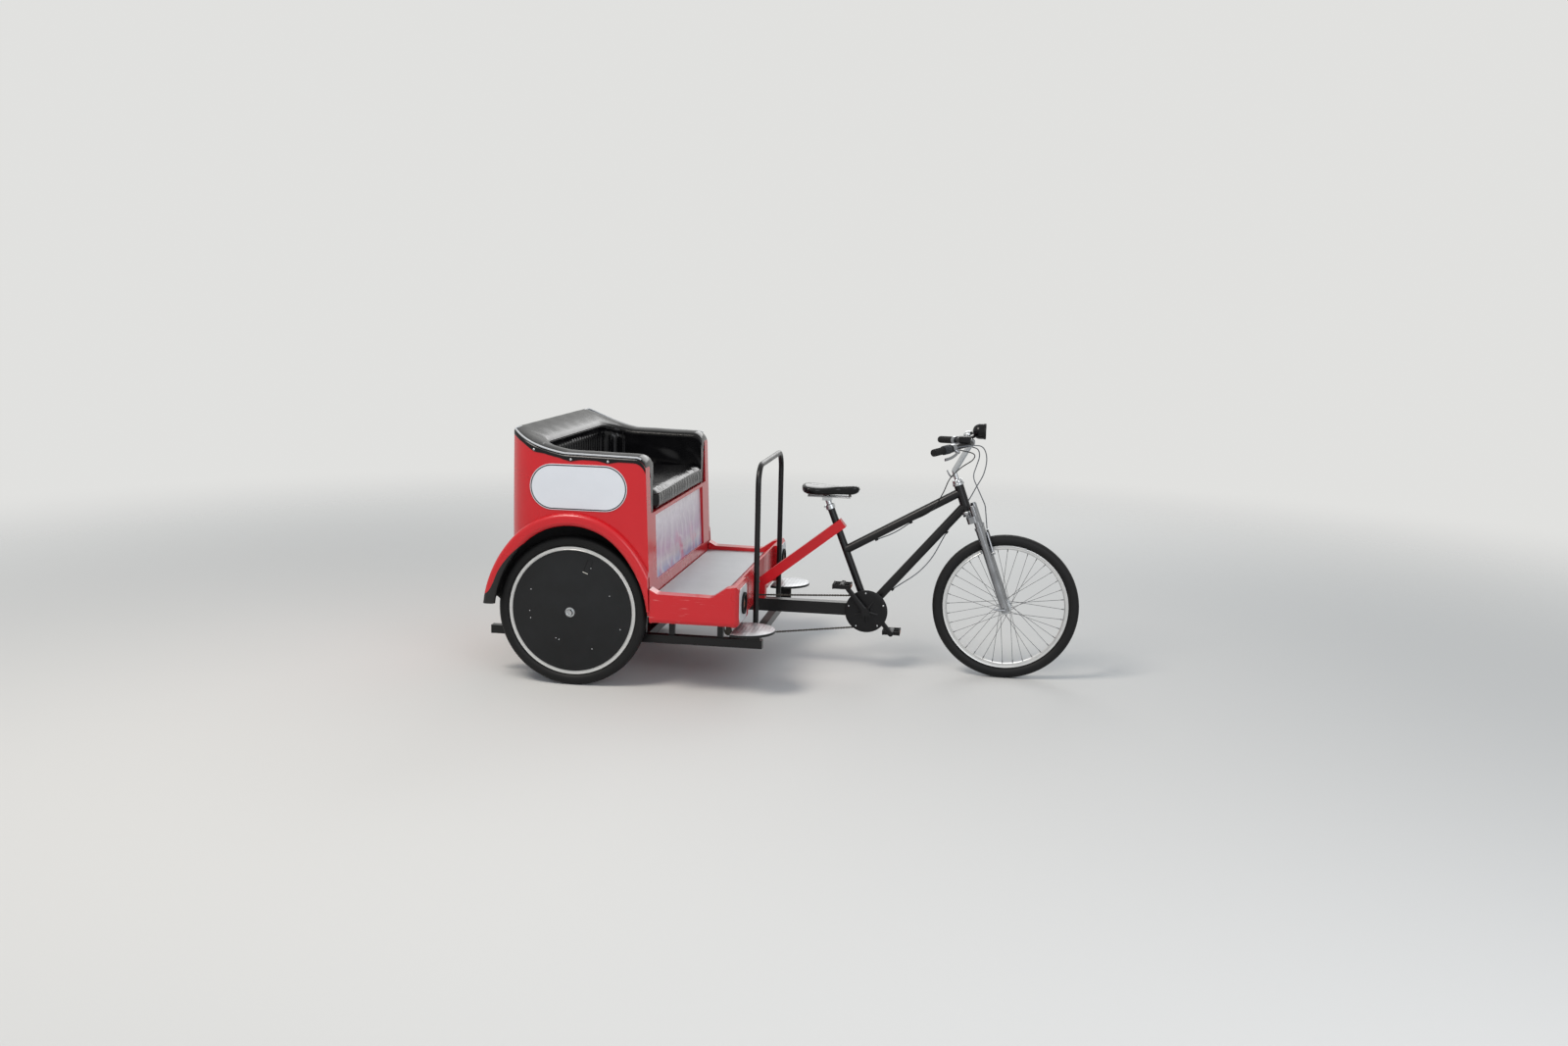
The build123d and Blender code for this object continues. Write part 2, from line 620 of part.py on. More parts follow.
CUP_H = 13
CUP_R = HEAD_R + 5
with BuildPart() as headset_cups:
    for end in (HEAD_LOW, HEAD_HIGH - CUP_H):
        rod(on_axis(end), on_axis(end + CUP_H), CUP_R)
    fillet(headset_cups.edges().filter_by(GeomType.CIRCLE), radius=3)
    rod(on_axis(HEAD_LOW - 5), on_axis(HEAD_HIGH + 5), HEAD_R + RUN, Mode.SUBTRACT)
save(headset_cups.part, "headset_cups")

POST_R = 13.6
with BuildPart() as seat_tube:
    rod((BB_X, 0, BB_Z), SEAT_TOP, SEAT_TUBE_R)
    add(boom.part, mode=Mode.SUBTRACT)
    rod((BB_X, -BB_W, BB_Z), (BB_X, BB_W, BB_Z), BB_R, Mode.SUBTRACT)
    rod((BB_X - 0.45 * (BB_X - SEAT_TOP[0]), 0, BB_Z + 0.45 * (SEAT_TOP[2] - BB_Z)),
        SEAT_TOP, POST_R, Mode.SUBTRACT)
save(seat_tube.part, "seat_tube")

# Silver clamp round the top of the seat tube, with its bolt behind
SEAT_DIR = (Vector(*SEAT_TOP) - BB_SPOT).normalized()
CLAMP_H = 20
with BuildPart() as seat_clamp:
    rod(Vector(*SEAT_TOP) - SEAT_DIR * (CLAMP_H + 2), Vector(*SEAT_TOP) - SEAT_DIR * 2, SEAT_TUBE_R + 5)
    bolt = Vector(*SEAT_TOP) - SEAT_DIR * (CLAMP_H / 2 + 2) - Vector(SEAT_TUBE_R + 7, 0, 0)
    rod(bolt - Vector(0, 16, 0), bolt + Vector(0, 16, 0), 5)
    rod(BB_SPOT, Vector(*SEAT_TOP) + SEAT_DIR * 5, SEAT_TUBE_R + RUN, Mode.SUBTRACT)
save(seat_clamp.part, "seat_clamp")

TOP_REAR_Z = 564
TOP_SHARE = (TOP_REAR_Z - BB_Z) / (SEAT_TOP[2] - BB_Z)
TOP_REAR = (BB_X + TOP_SHARE * (SEAT_TOP[0] - BB_X), 0, TOP_REAR_Z)
TOP_HEAD = on_axis(30)
with BuildPart() as top_tube:
    rod(TOP_REAR, TOP_HEAD, TUBE_R)
    rod(on_axis(HEAD_LOW - 50), on_axis(HEAD_HIGH + 50), HEAD_R, Mode.SUBTRACT)
    rod((BB_X, 0, BB_Z), SEAT_TOP, SEAT_TUBE_R, Mode.SUBTRACT)
    kept = top_tube.solids().sort_by(Axis.X)[-1]
top_dir = (Vector(*TOP_HEAD) - Vector(*TOP_REAR)).normalized()
with BuildPart() as top_frame:
    add(kept)
    cable_stop(Vector(*TOP_REAR), top_dir, TOP_STOPS, TUBE_R)
save(top_frame.part, "top_tube")

DOWN_HEAD = on_axis(-36)
with BuildPart() as down_tube:
    rod((BB_X, 0, BB_Z), DOWN_HEAD, DOWN_R)
    rod(on_axis(HEAD_LOW - 50), on_axis(HEAD_HIGH + 50), HEAD_R, Mode.SUBTRACT)
    add(headset_cups.part, mode=Mode.SUBTRACT)
    rod((BB_X, -BB_W, BB_Z), (BB_X, BB_W, BB_Z), BB_R, Mode.SUBTRACT)
    rod((BB_X, 0, BB_Z), SEAT_TOP, SEAT_TUBE_R, Mode.SUBTRACT)
    add(boom.part, mode=Mode.SUBTRACT)
    kept = down_tube.solids().sort_by(Axis.X)[-1]
down_dir = (Vector(*DOWN_HEAD) - BB_SPOT).normalized()
with BuildPart() as down_frame:
    add(kept)
    cable_stop(BB_SPOT, down_dir, DOWN_STOPS, DOWN_R)
save(down_frame.part, "down_tube")

# Red square stay from the front edge of the pan up to the seat tube
STAY = 46
STAY_LOW = (rx(746), 391)
STAY_HIGH = (rx(1125), 691)
STAY_FOOT = 34
STAY_FOOT_X = rx(PAN_FRONT - LIP_SET_BACK) + RUN
with BuildPart() as diagonal_stay:
    run = Vector(STAY_HIGH[0] - STAY_LOW[0], 0, STAY_HIGH[1] - STAY_LOW[1])
    with BuildSketch(Plane(origin=(STAY_LOW[0], 0, STAY_LOW[1]), x_dir=(0, 1, 0), z_dir=run)):
        Rectangle(STAY, STAY)
    extrude(amount=run.length)
    rod((BB_X, 0, BB_Z), SEAT_TOP, SEAT_TUBE_R, Mode.SUBTRACT)
    # Foot plate down to the boom
    with Locations((STAY_FOOT_X + STAY_FOOT / 2, 0, (BOOM_Z + BOOM_H / 2 + STAY_LOW[1]) / 2)):
        Box(STAY_FOOT, STAY, STAY_LOW[1] - BOOM_Z - BOOM_H / 2)
    with Locations((STAY_FOOT_X, 0, STAY_LOW[1])):
        Box(200, 200, 400, align=(Align.MAX, Align.CENTER, Align.CENTER), mode=Mode.SUBTRACT)
save(diagonal_stay.part, "diagonal_stay")

# Seat post and saddle
POST_TOP = Vector(*SEAT_TOP) + SEAT_DIR * 30
with BuildPart() as seat_post:
    rod(Vector(*SEAT_TOP) - SEAT_DIR * 90, POST_TOP, POST_R - FIT)
    with Locations(POST_TOP):
        Box(44, 40, 18)
    for hand in (1, -1):
        rod((POST_TOP.X - 90, hand * 22, POST_TOP.Z + 9),
            (POST_TOP.X + 110, hand * 22, POST_TOP.Z + 9), 3.5)
save(seat_post.part, "seat_post")

SADDLE_L = 270
SADDLE_W = 190
SADDLE_T = 48
SADDLE_Z = POST_TOP.Z + 22
RAILS_Y = 22
RAILS_R = 3.5
RAILS_TOP = POST_TOP.Z + 9 + RAILS_R
SADDLE_EDGE_R = 8
# Half outline of the saddle from the nose to the tail, counted from the top of the post
NOSE = 150
SADDLE_SIDE = [(NOSE - 22, 22), (60, 27), (0, 40), (-62, SADDLE_W / 2 - 5), (-104, SADDLE_W / 2 - 29)]
SADDLE_RING = [(NOSE, 0), *SADDLE_SIDE, (NOSE - SADDLE_L, 0), *[(x, -y) for x, y in reversed(SADDLE_SIDE)]]
with BuildPart() as saddle:
    with BuildSketch(Plane.XY.offset(SADDLE_Z)):
        with BuildLine():
            Spline(*[(POST_TOP.X + x, y) for x, y in SADDLE_RING], periodic=True)
        make_face()
    extrude(amount=SADDLE_T)
    fillet(saddle.edges().group_by(Axis.Z)[-1], radius=SADDLE_EDGE_R)
    for hand in (1, -1):
        for x in (POST_TOP.X - 85, POST_TOP.X + 105):
            rod((x, hand * RAILS_Y, RAILS_TOP), (x, hand * RAILS_Y, SADDLE_Z), RAILS_R)
save(saddle.part, "saddle")

# Grab hoop on the front crossmember
with BuildPart() as grab_hoop:
    with BuildLine() as hoop_line:
        FilletPolyline((HOOP_X, -HOOP_W / 2, RAIL_TOP), (HOOP_X, -HOOP_W / 2, HOOP_TOP - HOOP_R),
                       (HOOP_X, HOOP_W / 2, HOOP_TOP - HOOP_R), (HOOP_X, HOOP_W / 2, RAIL_TOP),
                       radius=HOOP_BEND)
    with BuildSketch(Plane(origin=hoop_line.line @ 0, z_dir=(0, 0, 1))):
        Circle(HOOP_R)
    sweep(path=hoop_line.line)
save(grab_hoop.part, "grab_hoop")

# Steps: rounded plates on brackets from the rails
for name, hand in (("step_left", 1), ("step_right", -1)):
    with BuildPart() as step:
        with BuildSketch(Plane.XY.offset(STEP_Z - STEP_T)):
            with Locations((STEP_X, hand * STEP_Y)):
                Circle(STEP_R)
            with Locations((STEP_X - 100, hand * STEP_Y)):
                Rectangle(100, 3 * STEP_R, mode=Mode.SUBTRACT)
        extrude(amount=STEP_T)
        with Locations((STEP_X + 20, hand * (RAIL_Y + RAIL / 2 - 10), (RAIL_TOP + STEP_Z - STEP_T) / 2)):
            Box(60, 18, STEP_Z - STEP_T - RAIL_TOP)
    save(step.part, name)

# Fork: steerer and crown, lower legs with the axle clamps, brake arms
CROWN_ALONG = HEAD_LOW - 10
LEG_RISE = 40
CAP_H = 5
with BuildPart() as fork_crown:
    rod(on_axis(CROWN_ALONG), on_axis(HEAD_HIGH + 18), STEERER_R)
    crown_plane = Plane(origin=on_axis(CROWN_ALONG, RAKE / 2), x_dir=(0, 1, 0), z_dir=(UP_X, 0, UP_Z))
    with BuildSketch(crown_plane):
        RectangleRounded(2 * LEG_Y + 44, 52, 20)
    extrude(amount=-CROWN_H)
    rod(on_axis(CROWN_ALONG), on_axis(HEAD_LOW - RUN), HEAD_R + 2)
    for hand in (1, -1):
        rod(on_axis(CROWN_ALONG + LEG_RISE, RAKE, hand * LEG_Y),
            on_axis(CROWN_ALONG - 180, RAKE, hand * LEG_Y), STANCHION_R)
        rod(on_axis(CROWN_ALONG + LEG_RISE, RAKE, hand * LEG_Y),
            on_axis(CROWN_ALONG + LEG_RISE + CAP_H, RAKE, hand * LEG_Y), STANCHION_R - 3)
    rod(on_axis(HEAD_HIGH - 30), on_axis(HEAD_HIGH + 20), 11.2, Mode.SUBTRACT)
save(fork_crown.part, "fork_crown")

AXLE_R = 4.5
LOWERS_TOP = CROWN_ALONG - CROWN_H - 28
with BuildPart() as fork_lowers:
    for hand in (1, -1):
        rod(on_axis(AXLE_ALONG - 12, RAKE, hand * LEG_Y),
            on_axis(LOWERS_TOP, RAKE, hand * LEG_Y), LEG_R)
        rod(on_axis(LOWERS_TOP - 12, RAKE, hand * LEG_Y),
            on_axis(LOWERS_TOP, RAKE, hand * LEG_Y), LEG_R + 2)
    # Brace over the tyre
    with BuildSketch(Plane(origin=on_axis(CROWN_ALONG - 112, RAKE), x_dir=(0, 1, 0),
                           z_dir=(UP_X, 0, UP_Z))):
        Rectangle(2 * LEG_Y - LEG_R, 14)
    extrude(amount=16)
    for hand in (1, -1):
        rod(on_axis(CROWN_ALONG - 190, RAKE, hand * LEG_Y),
            on_axis(LOWERS_TOP + 5, RAKE, hand * LEG_Y), STANCHION_R + FIT, Mode.SUBTRACT)
    rod((FRONT_X, -LEG_Y - 40, AXLE_Z), (FRONT_X, LEG_Y + 40, AXLE_Z), AXLE_R, Mode.SUBTRACT)
save(fork_lowers.part, "fork_lowers")

with BuildPart() as front_axle:
    rod((FRONT_X, -LEG_Y - LEG_R - 12, AXLE_Z), (FRONT_X, LEG_Y + LEG_R + 12, AXLE_Z), AXLE_R - FIT)
    for hand in (1, -1):
        rod((FRONT_X, hand * (LEG_Y + LEG_R + RUN), AXLE_Z),
            (FRONT_X, hand * (LEG_Y + LEG_R + 12), AXLE_Z), 9)
    # Lever of the quick release, turned back along the fork
    rod((FRONT_X, -LEG_Y - LEG_R - 9, AXLE_Z), (FRONT_X - 52, -LEG_Y - LEG_R - 16, AXLE_Z + 5), 4)
save(front_axle.part, "front_axle")

# Stem, handlebar, grips, levers
BAR_R = 12.7
BAR_W = 620
BAR_SPOT = (rx(1700), 0, 1086)
STEM_BEND = on_axis(HEAD_HIGH + 55)
with BuildPart() as stem:
    rod(on_axis(HEAD_HIGH - 28), STEM_BEND, 11)
    with Locations(STEM_BEND):
        Sphere(11)
    rod(STEM_BEND, BAR_SPOT, 13)
    rod((BAR_SPOT[0], -22, BAR_SPOT[2]), (BAR_SPOT[0], 22, BAR_SPOT[2]), BAR_R + 5)
    rod((BAR_SPOT[0], -50, BAR_SPOT[2]), (BAR_SPOT[0], 50, BAR_SPOT[2]), BAR_R, Mode.SUBTRACT)
save(stem.part, "stem")

GRIP_L = 120
GRIP_R = 16
BAR_END = (rx(1547), BAR_W / 2, 1066)
BAR_BEND = (rx(1690), 75, 1087)
with BuildPart() as handlebar:
    with BuildLine() as bar_line:
        FilletPolyline((BAR_END[0], -BAR_END[1], BAR_END[2]), (BAR_BEND[0], -BAR_BEND[1], BAR_BEND[2]),
                       (BAR_SPOT[0], -40, BAR_SPOT[2]), (BAR_SPOT[0], 40, BAR_SPOT[2]),
                       BAR_BEND, BAR_END, radius=30)
    with BuildSketch(Plane(origin=bar_line.line @ 0, z_dir=bar_line.line % 0)):
        Circle(BAR_R)
    sweep(path=bar_line.line)
save(handlebar.part, "handlebar")

BAR_RUN = (Vector(*BAR_BEND) - Vector(*BAR_END)).normalized()
with BuildPart() as grips:
    for hand in (1, -1):
        run = Vector(BAR_RUN.X, hand * BAR_RUN.Y, BAR_RUN.Z)
        end = Vector(BAR_END[0], hand * BAR_END[1], BAR_END[2])
        rod(end - run * 3, end + run * GRIP_L, GRIP_R)
        rod(end, end + run * (GRIP_L + 5), BAR_R, Mode.SUBTRACT)
save(grips.part, "grips")

# Brake levers: a clamp on the bar, a housing to the pivot and a flat curved blade
LEVER_PIVOT = Vector(26, 0, -16)
PIVOT_R = 9
left_clamp = Vector(*BAR_END) + BAR_RUN * (GRIP_L + 24)
with BuildPart() as brake_levers:
    for hand in (1, -1):
        run = Vector(BAR_RUN.X, hand * BAR_RUN.Y, BAR_RUN.Z)
        clamp = Vector(left_clamp.X, hand * left_clamp.Y, left_clamp.Z)
        rod(clamp - run * 14, clamp + run * 14, BAR_R + 6)
        pivot = clamp + LEVER_PIVOT
        rod(clamp, pivot, PIVOT_R)
        with Locations(pivot):
            Sphere(PIVOT_R)
        with BuildLine() as blade:
            Spline(pivot, pivot - run * 55 + Vector(10, 0, -12), pivot - run * 112 + Vector(6, 0, -18))
        with BuildSketch(Plane(origin=blade.line @ 0, x_dir=(0, 0, 1), z_dir=blade.line % 0)):
            RectangleRounded(13, 7, 3)
        sweep(path=blade.line)
        rod(clamp - run * 40, clamp + run * 40, BAR_R, Mode.SUBTRACT)
save(brake_levers.part, "brake_levers")

# Wheels: tyre, rim, hub with spokes, made once about the Y axis through the origin


def at_wheel(part, place):
    """Copy of a part that was made about the origin, moved to its place."""
    return Pos(*place) * part


with BuildPart() as tyre:
    with BuildSketch(Plane.YZ):
        with Locations((0, (TYRE_R + RIM_R) / 2)):
            RectangleRounded(TYRE_W, TYRE_R - RIM_R, 23)
    revolve(axis=Axis.Y)

# Rim section with upright brake tracks and a slanted inner corner
RIM_TOP = RIM_R - RUN
with BuildPart() as rim:
    with BuildSketch(Plane.YZ):
        with BuildLine():
            Polyline((-RIM_W / 2, RIM_TOP), (-RIM_W / 2, RIM_TOP - RIM_SIDE),
                     (-RIM_FLOOR_W / 2, RIM_TOP - RIM_DEPTH), (RIM_FLOOR_W / 2, RIM_TOP - RIM_DEPTH),
                     (RIM_W / 2, RIM_TOP - RIM_SIDE), (RIM_W / 2, RIM_TOP), close=True)
        make_face()
    revolve(axis=Axis.Y)


def spokes(flange_y, rim_r):
    """Two cones of square spokes from the hub flanges to the rim."""
    for hand in (1, -1):
        for k in range(SPOKES // 2):
            turn = 360 / (SPOKES // 2) * (k + 0.25 * (1 + hand))
            foot = Vector(HUB_FLANGE_R - 4, hand * flange_y, 0).rotate(Axis.Y, turn)
            head = Vector(rim_r, 0, 0).rotate(Axis.Y, turn)
            with Locations(Plane(origin=foot, z_dir=head - foot)):
                Box(SPOKE_D, SPOKE_D, (head - foot).length, align=(Align.CENTER, Align.CENTER, Align.MIN))


SPOKE_END = RIM_R - RIM_DEPTH - 2 * RUN
with BuildPart() as front_hub:
    rod((0, -38, 0), (0, 38, 0), 16)
    for y in (-34, 30):
        rod((0, y, 0), (0, y + 4, 0), HUB_FLANGE_R)
    spokes(32, SPOKE_END)
    rod((0, -50, 0), (0, 50, 0), AXLE_R, Mode.SUBTRACT)

with BuildPart() as rear_hub:
    rod((0, -HUB_W + RUN, 0), (0, 40, 0), 20)
    for y in (-30, 26):
        rod((0, y, 0), (0, y + 4, 0), HUB_FLANGE_R)
    spokes(26, SPOKE_END)
    rod((0, -HUB_W - BORE_DEPTH + 2, 0), (0, -HUB_W + RUN, 0), SHAFT_R)
    rod((0, 40, 0), (0, 68, 0), 14)

# Dished cover of the rear wheel: a flat band on the rim's side, a cone and a flat middle
COVER_T = 2
COVER_R = RIM_TOP - RIM_SIDE + 2
COVER_BAND_R = COVER_R - 15
COVER_FLAT_R = 60
COVER_SEAT = RIM_W / 2 + RUN
COVER_OUT = 44
COVER_BORE = 20 + RUN
with BuildPart() as disc_cover:
    with BuildSketch(Plane.YZ):
        with BuildLine():
            Polyline((COVER_SEAT, COVER_R), (COVER_SEAT + COVER_T, COVER_R),
                     (COVER_SEAT + COVER_T, COVER_BAND_R), (COVER_OUT, COVER_FLAT_R),
                     (COVER_OUT, COVER_BORE), (COVER_OUT - COVER_T, COVER_BORE),
                     (COVER_OUT - COVER_T, COVER_FLAT_R), (COVER_SEAT, COVER_BAND_R), close=True)
        make_face()
    revolve(axis=Axis.Y)

FRONT_PLACE = (FRONT_X, 0, AXLE_Z)
save(at_wheel(tyre.part, FRONT_PLACE), "tyre_front")
save(at_wheel(rim.part, FRONT_PLACE), "rim_front")
save(at_wheel(front_hub.part, FRONT_PLACE), "hub_front")
for name, hand in (("left", 1), ("right", -1)):
    place = (REAR_X, hand * TRACK / 2, AXLE_Z)
    for piece, label in ((tyre, "tyre"), (rim, "rim"), (rear_hub, "hub"), (disc_cover, "cover")):
        body = piece.part
        if hand < 0:
            body = mirror(body, about=Plane.XZ)
        save(at_wheel(body, place), f"{label}_rear_{name}")

# Crankset: spindle, arms, chainring and guard, then the pedals
ARM_Y = 78
ARM_T = 14
ARM_ROOT_R = 18
ARM_TIP_R = 13
PEDAL_L = 92
PEDAL_W = 84
PEDAL_T = 24
PEDAL_EDGE = 9
PEDAL_BEAM = 24
PEDAL_GAP = (PEDAL_W - PEDAL_BEAM) / 2 - PEDAL_EDGE
crank_dir = Vector(cos(radians(CRANK_ANGLE)), 0, sin(radians(CRANK_ANGLE)))
with BuildPart() as crankset:
    rod((BB_X, -ARM_Y, BB_Z), (BB_X, ARM_Y, BB_Z), SHAFT_R - 4)
    for hand in (-1, 1):
        spot = BB_SPOT + Vector(0, hand * ARM_Y, 0)
        tip = spot + crank_dir * (-hand * CRANK)
        with BuildSketch(side_plane(hand * ARM_Y + ARM_T / 2)):
            with Locations((BB_X, BB_Z)):
                Circle(ARM_ROOT_R)
            with Locations((tip.X, tip.Z)):
                Circle(ARM_TIP_R)
            make_hull()
        extrude(amount=ARM_T)
        rod((tip.X, hand * ARM_Y, tip.Z), (tip.X, hand * (ARM_Y + ARM_T / 2 + PEDAL_L - 6), tip.Z), 6)
    rod((BB_X, CHAIN_Y - COG_T / 2, BB_Z), (BB_X, CHAIN_Y + COG_T / 2, BB_Z), RING_R - INSIDE)
    rod((BB_X, CHAIN_Y - 11, BB_Z), (BB_X, CHAIN_Y - 8, BB_Z), GUARD_R)
    rod((BB_X, CHAIN_Y - 11, BB_Z), (BB_X, CHAIN_Y + COG_T / 2, BB_Z), 30)
save(crankset.part, "crankset")

for name, hand in (("pedal_left", 1), ("pedal_right", -1)):
    tip = BB_SPOT + crank_dir * (-hand * CRANK)
    start = ARM_Y + ARM_T / 2 + 1
    with BuildPart() as pedal:
        with BuildSketch(Plane.XY.offset(tip.Z - PEDAL_T / 2)):
            with Locations((tip.X, hand * (start + PEDAL_L / 2))):
                RectangleRounded(PEDAL_W, PEDAL_L, PEDAL_EDGE)
                with Locations(*[(side * (PEDAL_BEAM + PEDAL_GAP) / 2, 0) for side in (1, -1)]):
                    Rectangle(PEDAL_GAP, PEDAL_L - 2 * PEDAL_EDGE, mode=Mode.SUBTRACT)
        extrude(amount=PEDAL_T)
        rod((tip.X, hand * (start - 5), tip.Z), (tip.X, hand * (start + PEDAL_L - 4), tip.Z), 6 + FIT,
            Mode.SUBTRACT)
    save(pedal.part, name)

# Round headlight on a short post beside the stem, bell and display on the bar
LIGHT_R = 34
LIGHT_SPOT = Vector(rx(1739), 100, 1131)
bar_at_light = Vector(*BAR_BEND) - BAR_RUN * 30
with BuildPart() as headlight:
    rod(LIGHT_SPOT - Vector(26, 0, 0), LIGHT_SPOT + Vector(22, 0, 0), LIGHT_R)
    fillet(headlight.edges().group_by(Axis.X)[0], radius=16)
    rod(LIGHT_SPOT + Vector(14, 0, 0), LIGHT_SPOT + Vector(24, 0, 0), LIGHT_R + 3)
    rod(LIGHT_SPOT + Vector(20, 0, 0), LIGHT_SPOT + Vector(25, 0, 0), LIGHT_R - 3, Mode.SUBTRACT)
    rod(bar_at_light - BAR_RUN * 9, bar_at_light + BAR_RUN * 9, BAR_R + 5)
    rod(bar_at_light, LIGHT_SPOT - Vector(10, 0, 12), 7)
    rod(bar_at_light - BAR_RUN * 60, bar_at_light + BAR_RUN * 60, BAR_R, Mode.SUBTRACT)
save(headlight.part, "headlight")

BOX_SPOT = (rx(1672), -88, 1108)
BELL_LOW = Vector(BAR_SPOT[0] - 14, 33, BAR_SPOT[2] + 30)
BELL_HIGH = Vector(BAR_SPOT[0] - 20, 33, BAR_SPOT[2] + 46)
BELL_R = 21
with BuildPart() as bar_fittings:
    with Locations(BOX_SPOT):
        Box(54, 44, 30)
    fillet(bar_fittings.edges(), radius=5)
    rod(BELL_LOW, BELL_HIGH, BELL_R)
    fillet(bar_fittings.edges().filter_by(GeomType.CIRCLE).sort_by(Axis.Z)[-1], radius=12)
    rod((BAR_SPOT[0] - 2, 33, BAR_SPOT[2] + BAR_R), (BAR_SPOT[0] - 14, 33, BAR_SPOT[2] + 34), 5)
    add(handlebar.part, mode=Mode.SUBTRACT)
save(bar_fittings.part, "bar_fittings")

# Rim brake: two arms on the lower legs with pads beside the rim
BRAKE_ALONG = AXLE_ALONG + RIM_R - RIM_DEPTH / 2
PAD_Y = RIM_W / 2 + 5
ARM_FORWARD = RAKE + LEG_R + 8
ARM_LOW = (BRAKE_ALONG - 20, ARM_FORWARD, LEG_Y - 4)
ARM_TOP = (BRAKE_ALONG + 85, ARM_FORWARD, LEG_Y - 23)
with BuildPart() as front_brake:
    for hand in (1, -1):
        low = hand * (LEG_Y - 4)
        at_pad = hand * (LEG_Y - 8)
        rod(on_axis(ARM_LOW[0], ARM_LOW[1], hand * ARM_LOW[2]),
            on_axis(ARM_TOP[0], ARM_TOP[1], hand * ARM_TOP[2]), 5.5)
        rod(on_axis(BRAKE_ALONG - 14, RAKE + LEG_R + RUN, low),
            on_axis(BRAKE_ALONG - 14, ARM_FORWARD + 8, low), 6.5)
        rod(on_axis(BRAKE_ALONG, ARM_FORWARD, at_pad),
            on_axis(BRAKE_ALONG, RAKE + 3, hand * (PAD_Y + 6)), 4)
        with Locations(Plane(origin=on_axis(BRAKE_ALONG, RAKE, hand * (PAD_Y + 5)),
                             x_dir=(UP_Z, 0, -UP_X), z_dir=(UP_X, 0, UP_Z))):
            Box(60, 10, 11)
save(front_brake.part, "front_brake")

# Front brake cable: from the left lever forwards, down ahead of the head tube in a loop,
# and to the top of the left brake arm
CABLE_BEND = 60
lever_spot = left_clamp + LEVER_PIVOT
first_bend = Vector(rx(1750), 50, 1050)
loop_back = Vector(rx(1712), 12, 930)
loop_out = Vector(rx(1775), 10, 800)
cable_start = lever_spot + (first_bend - lever_spot).normalized() * (PIVOT_R + RUN)
arm_top = Vector(*on_axis(*ARM_TOP))
into_arm = (arm_top - Vector(*on_axis(*ARM_LOW))).normalized()
with BuildPart() as front_brake_cable:
    with BuildLine() as brake_line:
        FilletPolyline(cable_start, first_bend, loop_back, loop_out, arm_top + into_arm * 2,
                       radius=CABLE_BEND)
    with BuildSketch(Plane(origin=brake_line.line @ 0, z_dir=brake_line.line % 0)):
        Circle(CABLE_R)
    sweep(path=brake_line.line)
save(front_brake_cable.part, "front_brake_cable")

# Cables slung from stop to stop below the top tube and the down tube, each with its slack
SLUNG_BEND = 380
top_run = (Vector(*TOP_REAR), top_dir, TOP_STOPS, TUBE_R, 10)
down_run = (BB_SPOT, down_dir, DOWN_STOPS, DOWN_R, 46)
with BuildPart() as frame_cables:
    for start, direction, stops, tube_r, slack in (top_run, down_run):
        level = below(direction) * (tube_r + STOP_R - STOP_SUNK)
        gap = RUN + CABLE_R * slack / ((stops[1] - stops[0]) / 2)
        first = start + direction * (stops[0] + STOP_L / 2 + gap) + level
        last = start + direction * (stops[1] - STOP_L / 2 - gap) + level
        with BuildLine() as slung:
            FilletPolyline(first, (first + last) / 2 + below(direction) * slack, last, radius=SLUNG_BEND)
        with BuildSketch(Plane(origin=slung.line @ 0, z_dir=slung.line % 0)):
            Circle(CABLE_R)
        sweep(path=slung.line)
save(frame_cables.part, "frame_cables")
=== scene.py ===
import math

import bmesh
import bpy
import numpy as np
from mathutils import Matrix, Vector


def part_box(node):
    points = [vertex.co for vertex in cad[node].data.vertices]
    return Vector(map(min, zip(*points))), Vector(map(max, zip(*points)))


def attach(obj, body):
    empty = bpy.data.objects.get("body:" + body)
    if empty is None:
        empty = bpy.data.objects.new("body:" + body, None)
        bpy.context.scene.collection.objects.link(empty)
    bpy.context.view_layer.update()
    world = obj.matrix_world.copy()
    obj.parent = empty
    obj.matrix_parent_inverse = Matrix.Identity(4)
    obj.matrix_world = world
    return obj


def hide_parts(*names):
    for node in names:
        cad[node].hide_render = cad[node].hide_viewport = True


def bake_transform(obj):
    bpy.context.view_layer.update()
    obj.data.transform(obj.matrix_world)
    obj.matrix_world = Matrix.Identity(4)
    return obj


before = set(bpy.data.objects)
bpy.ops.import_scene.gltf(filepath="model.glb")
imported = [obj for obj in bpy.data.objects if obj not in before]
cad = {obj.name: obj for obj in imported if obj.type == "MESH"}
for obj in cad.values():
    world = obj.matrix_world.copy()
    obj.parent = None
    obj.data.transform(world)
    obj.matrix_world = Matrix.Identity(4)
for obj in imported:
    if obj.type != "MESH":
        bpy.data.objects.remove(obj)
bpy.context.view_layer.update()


def middle(node):
    """Centre of a CAD node's box."""
    low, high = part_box(node)
    return (low + high) / 2


def new_object(name, data):
    """A new object of the scene, made of that data."""
    made = bpy.data.objects.new(name, data)
    bpy.context.scene.collection.objects.link(made)
    return made


REAR_AXLE = middle("tyre_rear_right")
FRONT_AXLE = middle("tyre_front")

EYE_AHEAD_OF_AXLE = 1.8541
EYE_SIDE = -6.6173
EYE_HEIGHT = 1.7425
EYE_YAW = math.radians(8.667)
EYE_PITCH = math.radians(9.056)
EYE_ROLL = math.radians(1.352)
LENS_MM = 33.2

